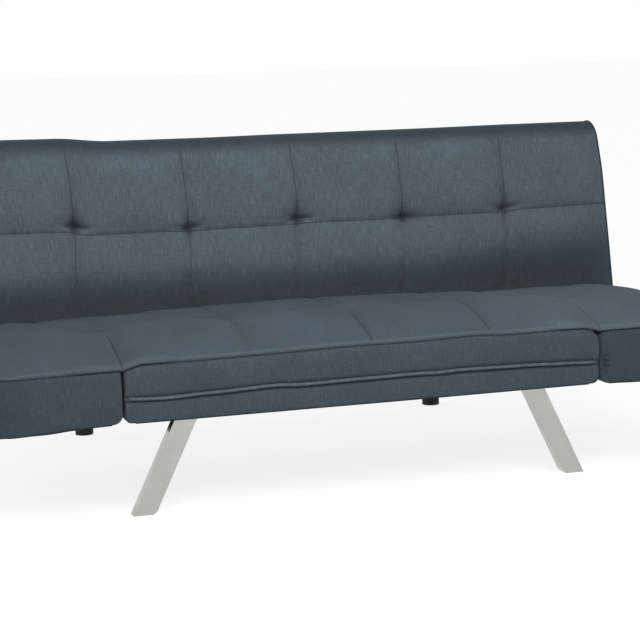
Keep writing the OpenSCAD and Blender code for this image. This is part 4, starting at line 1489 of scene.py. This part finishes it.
@dataclass
class FoldCloth:
    """The strip of top cloth that runs on across a fold, between the seat and an end section."""

    top: SeatTop
    side: int
    reach: float = 0.122
    thickness: float = 0.0012
    lift: float = 0.0009
    sink: float = 0.0028
    groove: Peak = Peak(0.0020, 0.0045)
    fold_mark: Peak = Peak(0.8, 0.0016)
    row_mark: Peak = Peak(0.35, 0.0018)
    # Painted shade in each tuft's dimple
    tuft_shade: Peak = Peak(0.4, 0.010)

    def rows(self) -> list[tuple[float, float, float]]:
        """The strip's lines from front to rear: place, height lost on the rolled edge, and seam mark.

        Returns:
            Each line as its place, its height lost and its seam mark.
        """
        top = self.top
        lines = [
            (top.front + 0.0045, top.roll + 0.0035, 1.0),
            (top.front + 0.0026, top.roll + 0.0020, 0.9),
            (top.front + 0.0020, top.roll + 0.0004, 1.0),
            (top.front + 0.0008, top.roll - 0.0014, 0.7),
        ]
        for step in range(1, 7):
            turn = math.radians(15 * step)
            y, drop = top.front + top.roll * (1 - math.cos(turn)), top.roll * (1 - math.sin(turn))
            lines.append((y - 0.0008 * math.cos(turn), drop, 0.10 if step == 1 else 0.0))
        start, end = top.front + top.roll, top.rear - top.rear_roll
        for y in stations(start, end, 0.011, (top.row,))[1:]:
            lines.append((y, 0.0, 0.0))
        for step in range(1, 5):
            turn = math.radians(22.5 * step)
            lines.append((end + top.rear_roll * math.sin(turn), top.rear_roll * (1 - math.cos(turn)), 0.0))
        return lines

    def lay(self, across: float, y: float, drop: float) -> Vector:
        """Where a point of the strip lies, just over the pads and level with them at its edges.

        Args:
            across: distance from the fold line.
            y: the place from front to rear.
            drop: height lost on the rolled edge.

        Returns:
            The point on the strip.
        """
        top = self.top
        x = self.side * top.fold + across
        held = min(max(y, top.front), top.rear)
        groove = self.groove.at(across) * (1 - ramp(-0.34, -0.24, y))
        sunk = self.sink * ramp(0.088, self.reach, abs(across))
        rolled = min(drop / top.roll, 1.0)
        z = top.height(x, held) + self.lift - groove - sunk * (1 - rolled) - drop
        return Vector((x, y + 0.8 * sunk * rolled, z))

    def build(self, finish: bpy.types.Material) -> bpy.types.Object:
        """Makes the strip that lies over the fold between seat and end section.

        Args:
            finish: its cloth.

        Returns:
            The finished strip.
        """
        top = self.top
        name = "right_fold_cloth" if self.side > 0 else "left_fold_cloth"
        xs, rows = stations(-self.reach, self.reach, 0.008, (0.0,)), self.rows()
        bm = bmesh.new()
        bmesh.ops.create_grid(bm, x_segments=len(xs) - 1, y_segments=len(rows) - 1, size=0.5)
        layers = [bm.verts.layers.float.new(name) for name in Marks._fields]
        for vertex in bm.verts:
            across = xs[round((vertex.co.x + 0.5) * (len(xs) - 1))]
            y, drop, sewn = rows[round((vertex.co.y + 0.5) * (len(rows) - 1))]
            vertex.co = self.lay(across, y, drop)
            sewn = max(sewn, self.fold_mark.at(across) * (1 - ramp(-0.36, -0.26, y)))
            tuft = top.from_tuft(vertex.co.x, y)
            # Painted shade in the tuft dimples, with the row's seam
            sewn = max(sewn, self.row_mark.at(y - top.row), self.tuft_shade.at(tuft))
            ends = 1 - ramp(0.090, self.reach, abs(across))
            # Painted highlight along the strip's rolled front edge; the strip also takes the top's painted
            # shade
            rolled_highlight = 0.6 * ends * bell(top.roll * 0.35 - drop, 0.005) if y < top.front + top.roll else 0.0
            for layer, value in zip(layers, Marks(sewn, rolled_highlight, top.painted_shade(vertex.co.x), 1.0)):
                vertex[layer] = value
        lay_weave(bm, lambda p: (p.x, p.y + p.z))
        face_towards(bm, Vector((0, 0, 1)))
        piece = make_object(name, bm)
        thicken(piece, self.thickness)
        piece.data.materials.append(finish)
        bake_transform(piece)
        width = self.run([self.lay(across, top.row, 0.0) for across in xs])
        length = self.run([self.lay(self.reach, y, drop) for y, drop, sewn in rows])
        log.info("%s: %.3f by %.3f m, laid over the fold", name, width, length)
        return piece

    def run(self, points: list[Vector]) -> float:
        """The length of a line through points."""
        return sum((second - first).length for first, second in zip(points, points[1:]))


@dataclass
class Welt:
    """The covered cord sewn across the seat's front panel."""

    left: float
    right: float
    front: float
    heights: Knots
    radius: float = 0.0034

    def build(self, finish: bpy.types.Material) -> bpy.types.Object:
        """Makes the cord with its slight waves.

        Args:
            finish: its cloth.

        Returns:
            The finished cord.
        """
        points = []
        for x in stations(self.left, self.right, 0.012):
            tucked = 0.004 * (bell(x - self.left, 0.006) + bell(x - self.right, 0.006))
            points.append(Vector((x, self.front + tucked, along(self.heights, x))))
        piece = tube("seat_welt_cord", points, self.radius)
        dress_cord(piece, finish)
        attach(piece, "base")
        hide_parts("seat_welt")
        log.info("seat_welt_cord: %d bends", len(points))
        return piece


def dress_cord(piece: bpy.types.Object, finish: bpy.types.Material) -> None:
    """Gives a covered cord its cloth, laid along it in metres.

    Args:
        piece: the piece.
        finish: its cloth.
    """
    bm = bmesh.new()
    bm.from_mesh(piece.data)
    for layer in list(bm.loops.layers.uv.values()):
        bm.loops.layers.uv.remove(layer)
    lay_weave(bm, lambda p: (p.x + p.y, p.z + p.y))
    bm.to_mesh(piece.data)
    bm.free()
    piece.data.materials.clear()
    piece.data.materials.append(finish)


@dataclass
class Piping:
    """A thin cord sewn into a seam of the backrest, along straight runs of its box."""

    name: str
    pad: Backrest
    corners: tuple[tuple[float, float, float], ...]
    radius: float = 0.0018

    def build(self, finish: bpy.types.Material) -> bpy.types.Object:
        """Makes the cord; it closes where its last corner is its first.

        Args:
            finish: its cloth.

        Returns:
            The finished cord.
        """
        pad = self.pad
        path: list[Vector] = []
        for start, end in zip(self.corners, self.corners[1:]):
            first, last = Vector(start), Vector(end)
            steps = max(1, round((last - first).length / 0.008))
            path += [first.lerp(last, step / steps) for step in range(steps)]
        closed = self.corners[0] == self.corners[-1]
        if not closed:
            path.append(Vector(self.corners[-1]))
        points = [pad.place @ pad.form(point) for point in path]
        piece = tube(self.name, points, self.radius, closed=closed)
        dress_cord(piece, finish)
        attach(piece, "backrest")
        log.info("%s: %d bends", self.name, len(points))
        return piece


@dataclass
class StretchedPanel:
    """A thin cloth pulled flat over an opening and turned under at its edges."""

    name: str
    body: str
    low: Vector
    high: Vector
    facing: Vector
    sag: float
    node: str
    slot: str
    place: Matrix = field(default_factory=Matrix)
    thickness: float = 0.0012
    rests_on: tuple[str, ...] = ()
    corners: tuple[float, float] = (0.0, 0.0)
    under: Knots = ()
    cell: float = 0.02
    under_room: float = 0.0012
    hem: Peak = Peak(0.0008, 0.006)

    def lie(self, s: float, t: float, lift: float) -> Vector:
        """Where a point of a level panel lies: inside its round corners and against the pad above it.

        Args:
            s: share of the width.
            t: share of the length.
            lift: how far the cloth hangs down.

        Returns:
            The point on the panel.
        """
        size = self.high - self.low
        x, y = s * size.x, t * size.y
        at_left, at_front = s < 0.5, t < 0.5
        radius = self.corners[0 if at_left else 1]
        if radius:
            dx, dy = rounded(x if at_left else size.x - x, y if at_front else size.y - y, radius)
            x, y = (dx if at_left else size.x - dx), (dy if at_front else size.y - dy)
        spot = self.low + Vector((x, y, 0))
        spot.z = along(self.under, spot.x) - self.under_room - lift
        return spot

    def build(self, finish: bpy.types.Material) -> bpy.types.Object:
        """Makes the panel; its cloth hollows or swells by the sag between its edges.

        Args:
            finish: its cloth.

        Returns:
            The finished panel.
        """
        upright = abs(self.facing.y) > 0.5
        size = self.high - self.low
        width, length = size.x, (size.z if upright else size.y)
        columns, lines = (max(2, round(part / self.cell)) for part in (width, length))
        bm = bmesh.new()
        bmesh.ops.create_grid(bm, x_segments=columns, y_segments=lines, size=0.5)
        lay_weave(bm, lambda p: (p.x * width, p.y * length))
        for vertex in bm.verts:
            s, t = vertex.co.x + 0.5, vertex.co.y + 0.5
            lift = self.sag * crown(s, 0.5) * crown(t, 0.5)
            lift += 0.0006 * drift(s * width, t * length, 11.0, 0.09) * crown(s, 0.3) * crown(t, 0.3)
            edge = min(s * width, (1 - s) * width, t * length, (1 - t) * length)
            lift -= self.hem.at(edge - 0.012)
            if upright:
                spot = Vector((self.low.x + s * width, 0, self.low.z + t * length))
                spot.y = (self.high.y if self.facing.y > 0 else self.low.y) + self.facing.y * lift
            else:
                spot = self.lie(s, t, lift)
            vertex.co = spot
        face_towards(bm, self.facing)
        piece = make_object(self.name, bm)
        thicken(piece, self.thickness)
        piece.data.transform(self.place)
        piece.data.materials.append(finish)
        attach(piece, self.body)
        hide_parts(self.node)
        log.info("%s: %d by %d cells", self.name, columns, lines)
        return piece


# ---- The frame's own nodes ----


@dataclass
class Steelwork:
    """Legs, tubes, mechanism and frame timber, which keep their CAD shapes and get their finishes here."""

    edge: float = 0.0012

    def finishes(self) -> dict[str, bpy.types.Material]:
        """The finish for each material slot of the record.

        Returns:
            The finishes by slot.
        """
        return {
            "chrome": Chrome().material(),
            "black_rubber": Rubber().material(),
            "black_steel": PowderCoat().material(),
            "plywood": Plywood().material(),
            "foam": Foam().material(),
            "black_cloth": BlackCloth().material(),
            "zinc": ZincPlate().material(),
        }

    def boards(self) -> dict[Grain, bpy.types.Material]:
        """Pine for each way that a board can lie."""
        return {grain: Pine("planed_pine_" + grain.name.lower(), grain=grain).material() for grain in Grain}

    def dress(self, cloth: bpy.types.Material) -> dict[str, bpy.types.Material]:
        """Finishes every CAD node.

        Args:
            cloth: what the cloth nodes get.

        Returns:
            The finishes by slot.
        """
        finishes, boards = self.finishes(), self.boards()
        finishes[FABRIC] = cloth
        slots = {part["node"]: part["material_slot"] for part in frame["record"]["subparts"]}
        for name, node in frame["nodes"].items():
            slot = slots[name]
            finish = boards[self.grain(name)] if slot == "frame_wood" else finishes[slot]
            for spot in node.material_slots:
                spot.material = finish
            if slot == "chrome" and name.startswith("front_leg"):
                self.soften(node)
            log.info("%s: %s", name, finish.name)
        return finishes

    def grain(self, name: str) -> Grain:
        """The way the grain runs in a named board.

        Args:
            name: the board's node.

        Returns:
            The way of the grain.
        """
        if "stile" in name:
            return Grain.UPRIGHT
        if name in ("seat_left_board", "seat_right_board") or "inner_board" in name:
            return Grain.ACROSS
        return Grain.ALONG

    def soften(self, node: bpy.types.Object) -> None:
        """Rounds the corners of a folded tube a little, so that they catch the light.

        Args:
            node: the CAD node.
        """
        weld = node.modifiers.new("weld", "WELD")
        weld.merge_threshold = 1e-5
        edges = node.modifiers.new("edges", "BEVEL")
        edges.width = self.edge
        edges.segments = 2
        edges.limit_method = "ANGLE"
        edges.angle_limit = math.radians(35)
        edges.use_clamp_overlap = True


# ---- The whole sofa ----


@dataclass
class Sofa:
    """The dressed sofa bed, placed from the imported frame."""

    tilt: float = 12.5
    wall_room: float = -0.0010
    seat_top: float = 0.361
    arm_top: float = 0.354
    back_low: tuple[float, float] = (-0.085, -0.060)
    back_high: tuple[float, float] = (0.060, 0.504)
    cord_inset: float = 0.0022
    top_cord_inset: float = 0.006
    dust_corner: float = 0.062
    welt_run: Knots = (
        (-0.56, 0.2712),
        (-0.47, 0.2680),
        (-0.36, 0.2715),
        (-0.22, 0.2762),
        (-0.16, 0.2732),
        (0.0, 0.2752),
        (0.10, 0.2764),
        (0.16, 0.2750),
        (0.21, 0.2770),
        (0.38, 0.2750),
        (0.46, 0.2722),
        (0.56, 0.2690),
    )

    @property
    def undersides(self) -> dict[str, Knots]:
        """Heights of the pads' undersides along the sofa; the end sections droop outwards.

        Returns:
            The heights by section.
        """
        drooped = ((0.59, 0.2160), (0.66, 0.2140), (0.74, 0.2095), (0.84, 0.2040))
        return {
            "seat": ((-0.56, 0.2165), (0.0, 0.2167), (0.56, 0.2178)),
            "left_arm": tuple((-x, z) for x, z in reversed(drooped)),
            "right_arm": drooped,
        }

    def upholster(self, cloth: bpy.types.Material, finishes: dict[str, bpy.types.Material]) -> None:
        """Builds every soft piece.

        Args:
            cloth: the upholstery cloth.
            finishes: the frame's finishes, for the dust covers.
        """
        seat_low, seat_high = (Vector(corner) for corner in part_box("seat_cover"))
        fold = (seat_high.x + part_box("right_arm_cover")[0][0]) / 2
        top = SeatTop(front=seat_low.y, rear=seat_high.y, fold=fold)
        self.seat(top, seat_low, seat_high, cloth)
        for side in (-1, 1):
            self.end_section(top, side, cloth)
            FoldCloth(top, side).build(cloth)
        back = self.backrest(cloth)
        self.pipe(back)
        self.rear_panel(back, cloth)
        self.dust_covers(finishes["black_cloth"])

    def seat(self, top: SeatTop, low: Vector, high: Vector, cloth: bpy.types.Material) -> None:
        """Builds the middle seat and its welt.

        Args:
            top: the surface over all three sections.
            low: the box's low corner.
            high: the box's high corner.
            cloth: the upholstery cloth.
        """
        inset = Vector((self.wall_room, 0, 0))
        pad = SeatSection(
            "seat_cushion",
            "base",
            low + inset,
            Vector((high.x, high.y, self.seat_top)) - inset,
            lines_x=top.tufts[1:-1],
            lines_y=(top.row,),
            lines_z=(0.348, 0.273),
            top=top,
            welt_run=self.welt_run,
            underside_run=self.undersides["seat"],
            under_corner=0.0150,
            creases=(Crease(0.197, 0.030, 0.0016), Crease(0.297, 0.045, 0.0020)),
        )
        pad.build(cloth, ("seat_cover", "seat_foam"))
        # The welt is a lighter copy of the cloth: painted highlight on the cord's ridge
        welt = Linen("welt_linen_lightened", "#56606a", pale_yarn="#737e88", dark_yarn="#414a53")
        Welt(low.x + 0.010, high.x - 0.010, low.y - 0.0022, self.welt_run).build(welt.material())

    def end_section(self, top: SeatTop, side: int, cloth: bpy.types.Material) -> None:
        """Builds the cushion of one end section.

        Args:
            top: the surface over all three sections.
            side: -1 for left and 1 for right.
            cloth: the upholstery cloth.
        """
        name = "right_arm" if side > 0 else "left_arm"
        low, high = (Vector(corner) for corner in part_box(name + "_cover"))
        if side > 0:
            low.x += self.wall_room
        else:
            high.x -= self.wall_room
        pad = SeatSection(
            name + "_cushion",
            name,
            low,
            Vector((high.x, high.y, self.arm_top)),
            lines_x=(0.5770,) if side > 0 else (),
            lines_y=(top.row,),
            lines_z=(0.341, 0.265, 0.276, 0.287) if side > 0 else (0.341,),
            top=top,
            underside_run=self.undersides[name],
            folds=(side > 0, side < 0),
            gather=Gather(0.5720, 0.270, 0.0095, 0.024, 0.0056) if side > 0 else None,
            # Painted shade on the end section's boxing panels, darker at the right
            panel_shade=0.82 if side > 0 else 0.72,
        )
        pad.build(cloth, (name + "_cover", name + "_foam"))

    def backrest(self, cloth: bpy.types.Material) -> Backrest:
        """Builds the backrest and returns its plan.

        Args:
            cloth: the upholstery cloth.

        Returns:
            The backrest's plan.
        """
        joint = next(j for j in frame["record"]["behaviour"]["joints"] if j["name"] == "back_fold")
        pivot = Vector(joint["pos_m"])
        lean = Matrix.Translation(pivot) @ Matrix.Rotation(math.radians(-self.tilt), 4, "X")
        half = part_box("back_cover")[1][0]
        pad = Backrest(
            "back_cushion",
            "backrest",
            Vector((-half, *self.back_low)),
            Vector((half, *self.back_high)),
            place=lean,
            lines_z=(0.272, 0.285),
        )
        pad.lines_x = tuple(tuft.x for tuft in pad.tufts)
        pad.build(cloth, ("back_cover", "back_foam"))
        return pad

    def pipe(self, back: Backrest) -> None:
        """Sews the cords round the backrest's ends and along its top.

        Args:
            back: the backrest's plan.
        """
        # The cords are a darker copy of the cloth; besides the real cord, their dark tone is painted shade
        # along the backrest's edges
        finish = Linen("piping_linen_darkened", "#2c333b", pale_yarn="#414a53", dark_yarn="#1f252c").material()
        low, high = back.low, back.high
        for side in (-1, 1):
            x = side * (high.x - self.cord_inset)
            corner = (x, low.y, high.z)
            loop = (corner, (x, high.y, high.z), (x, high.y, low.z), (x, low.y, low.z), corner)
            Piping("back_piping_right" if side > 0 else "back_piping_left", back, loop).build(finish)
        y = low.y + back.top_cord
        left, right = low.x + self.top_cord_inset, high.x - self.top_cord_inset
        Piping("back_piping_top", back, ((left, y, high.z), (right, y, high.z))).build(finish)

    def rear_panel(self, back: Backrest, cloth: bpy.types.Material) -> None:
        """Builds the cloth that closes the backrest's rear.

        Args:
            back: the backrest's plan.
            cloth: the upholstery cloth.
        """
        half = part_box("back_rear_panel")[1][0]
        panel = StretchedPanel(
            "back_rear_cloth",
            "backrest",
            Vector((-half, back.high.y, back.rear_panel[0])),
            Vector((half, back.high.y + 0.0001, back.rear_panel[1])),
            Vector((0, 1, 0)),
            -0.0009,
            "back_rear_panel",
            FABRIC,
            place=back.place,
            rests_on=("back_cushion",),
        )
        panel.build(cloth)

    def dust_covers(self, finish: bpy.types.Material) -> None:
        """Builds the black cloths under the seat and the end sections.

        Args:
            finish: the dust cloth.
        """
        for name, body in (("seat", "base"), ("left_arm", "left_arm"), ("right_arm", "right_arm")):
            low, high = (Vector(corner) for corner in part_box(name + "_dust_cover"))
            panel = StretchedPanel(
                name + "_dust_cloth",
                body,
                low,
                high,
                Vector((0, 0, -1)),
                {"seat": 0.002, "left_arm": 0.016, "right_arm": 0.006}[name],
                name + "_dust_cover",
                "black_cloth",
                thickness=0.0008,
                corners=tuple(self.dust_corner if name == arm else 0.0 for arm in ("left_arm", "right_arm")),
                under=self.undersides[name],
            )
            panel.build(finish)


@dataclass
class Studio:
    """A pale floor without edges, soft lamps and the camera."""

    camera_place: tuple[float, float, float] = (-1.339, -4.371, 1.080)
    turn: float = 17.38
    pitch: float = 9.25
    roll: float = -1.21
    lens: float = 106.24
    sensor: float = 36.0
    middle_height: float = 0.4
    floor_half: float = 30.0
    floor_glow: float = 0.82
    fill: float = 0.45
    floor_tone: Colour = (0.78, 0.78, 0.78, 1.0)
    shadow_tone: Colour = (0.34, 0.34, 0.345, 1.0)
    fill_tone: Colour = (0.96, 0.98, 1.0, 1.0)
    white: Colour = (1.0, 1.0, 1.0, 1.0)

    def camera(self) -> None:
        """Places the camera and makes it the scene's."""
        data = bpy.data.cameras.new("camera")
        data.lens = self.lens
        data.sensor_width = self.sensor
        turn, pitch, roll = (math.radians(angle) for angle in (self.turn, self.pitch, self.roll))
        ahead = Vector((math.sin(turn) * math.cos(pitch), math.cos(turn) * math.cos(pitch), -math.sin(pitch)))
        right = Vector((math.cos(turn), -math.sin(turn), 0))
        up = right.cross(ahead)
        level_right = right * math.cos(roll) + up * math.sin(roll)
        level_up = up * math.cos(roll) - right * math.sin(roll)
        camera = bpy.data.objects.new("camera", data)
        columns = Matrix((level_right, level_up, -ahead)).transposed().to_4x4()
        camera.matrix_world = Matrix.Translation(Vector(self.camera_place)) @ columns
        bpy.context.scene.collection.objects.link(camera)
        bpy.context.scene.camera = camera

    def lamp(
        self, name: str, place: Vector, aim: Vector, size: tuple[float, float], power: float, tone: str
    ) -> None:
        """Hangs a soft lamp that faces a point.

        Args:
            name: the lamp's name.
            place: where it hangs.
            aim: the point that it faces.
            size: its width and height.
            power: its power in watts.
            tone: its colour.
        """
        data = bpy.data.lights.new(name, "AREA")
        data.shape = "RECTANGLE"
        data.size, data.size_y = size
        data.energy = power
        data.color = linear(tone)[:3]
        lamp = bpy.data.objects.new(name, data)
        lamp.location = place
        lamp.visible_camera = False
        lamp.rotation_mode = "QUATERNION"
        lamp.rotation_quaternion = (aim - place).to_track_quat("-Z", "Y")
        bpy.context.scene.collection.objects.link(lamp)

    def floor(self) -> None:
        """Lays the floor: white to the camera and to gloss, and lightly shaded under the sofa."""
        bm = bmesh.new()
        bmesh.ops.create_grid(bm, x_segments=4, y_segments=4, size=self.floor_half)
        floor = make_object("studio_floor", bm)
        material, tree = empty_material("pale_studio_floor")
        inputs = {"Base Color": self.floor_tone, "Roughness": 1.0, "Specular IOR Level": 0.0}
        lit = add_node(tree, "ShaderNodeBsdfPrincipled", inputs)
        shadow = add_node(tree, "ShaderNodeBsdfDiffuse", {"Color": self.shadow_tone})
        inputs = {"Color": self.white, "Strength": self.floor_glow}
        glow = add_node(tree, "ShaderNodeEmission", inputs)
        shown = add_node(tree, "ShaderNodeAddShader", {0: shadow.outputs[0], 1: glow.outputs[0]})
        self.show(tree, "ShaderNodeOutputMaterial", lit, shown)
        floor.data.materials.append(material)

    def show(self, tree: bpy.types.NodeTree, output: str, lit: Any, shown: Any) -> None:
        """Ends a tree in one shader that lights the sofa and another that camera, gloss and glass see.

        Args:
            tree: the node tree.
            output: the output node's type name.
            lit: the shader's node that lights the sofa.
            shown: the shader's node that is seen.
        """
        path = add_node(tree, "ShaderNodeLightPath")
        seen: Any = 0.0
        for ray in ("Is Camera Ray", "Is Glossy Ray", "Is Transmission Ray"):
            inputs = {0: seen, 1: path.outputs[ray]}
            seen = add_node(tree, "ShaderNodeMath", inputs, operation="ADD", use_clamp=True).outputs[0]
        mixed = add_node(tree, "ShaderNodeMixShader", {0: seen, 1: lit.outputs[0], 2: shown.outputs[0]})
        add_node(tree, output, {"Surface": mixed.outputs[0]})

    def sky(self) -> None:
        """Fills the room with even light behind a white backdrop."""
        world = bpy.data.worlds.new("studio")
        bpy.context.scene.world = world
        world.use_nodes = True
        tree = world.node_tree
        tree.nodes.clear()
        lit = add_node(tree, "ShaderNodeBackground", {"Color": self.fill_tone, "Strength": self.fill})
        shown = add_node(tree, "ShaderNodeBackground", {"Color": self.white, "Strength": 1.0})
        self.show(tree, "ShaderNodeOutputWorld", lit, shown)

    def build(self) -> None:
        """Sets up the whole studio."""
        self.camera()
        self.floor()
        self.sky()
        middle = Vector((0, 0, self.middle_height))
        self.lamp("softbox", Vector((-0.1, -1.55, 1.85)), Vector((0, 0, 0.45)), (1.8, 1.0), 27.5, "#fffcf6")
        self.lamp("front", Vector((-1.4, -4.2, 2.2)), middle, (2.4, 2.4), 34, "#fffaf2")
        bpy.context.scene.view_settings.view_transform = "Standard"


def main() -> None:
    """Builds the studio, the frame's finishes and the upholstery, in that order."""
    logging.basicConfig(level=logging.INFO, format="%(name)s: %(message)s")
    Studio().build()
    cloth = Linen().material()
    finishes = Steelwork().dress(cloth)
    Sofa().upholster(cloth, finishes)


if __name__ == "__main__":
    main()
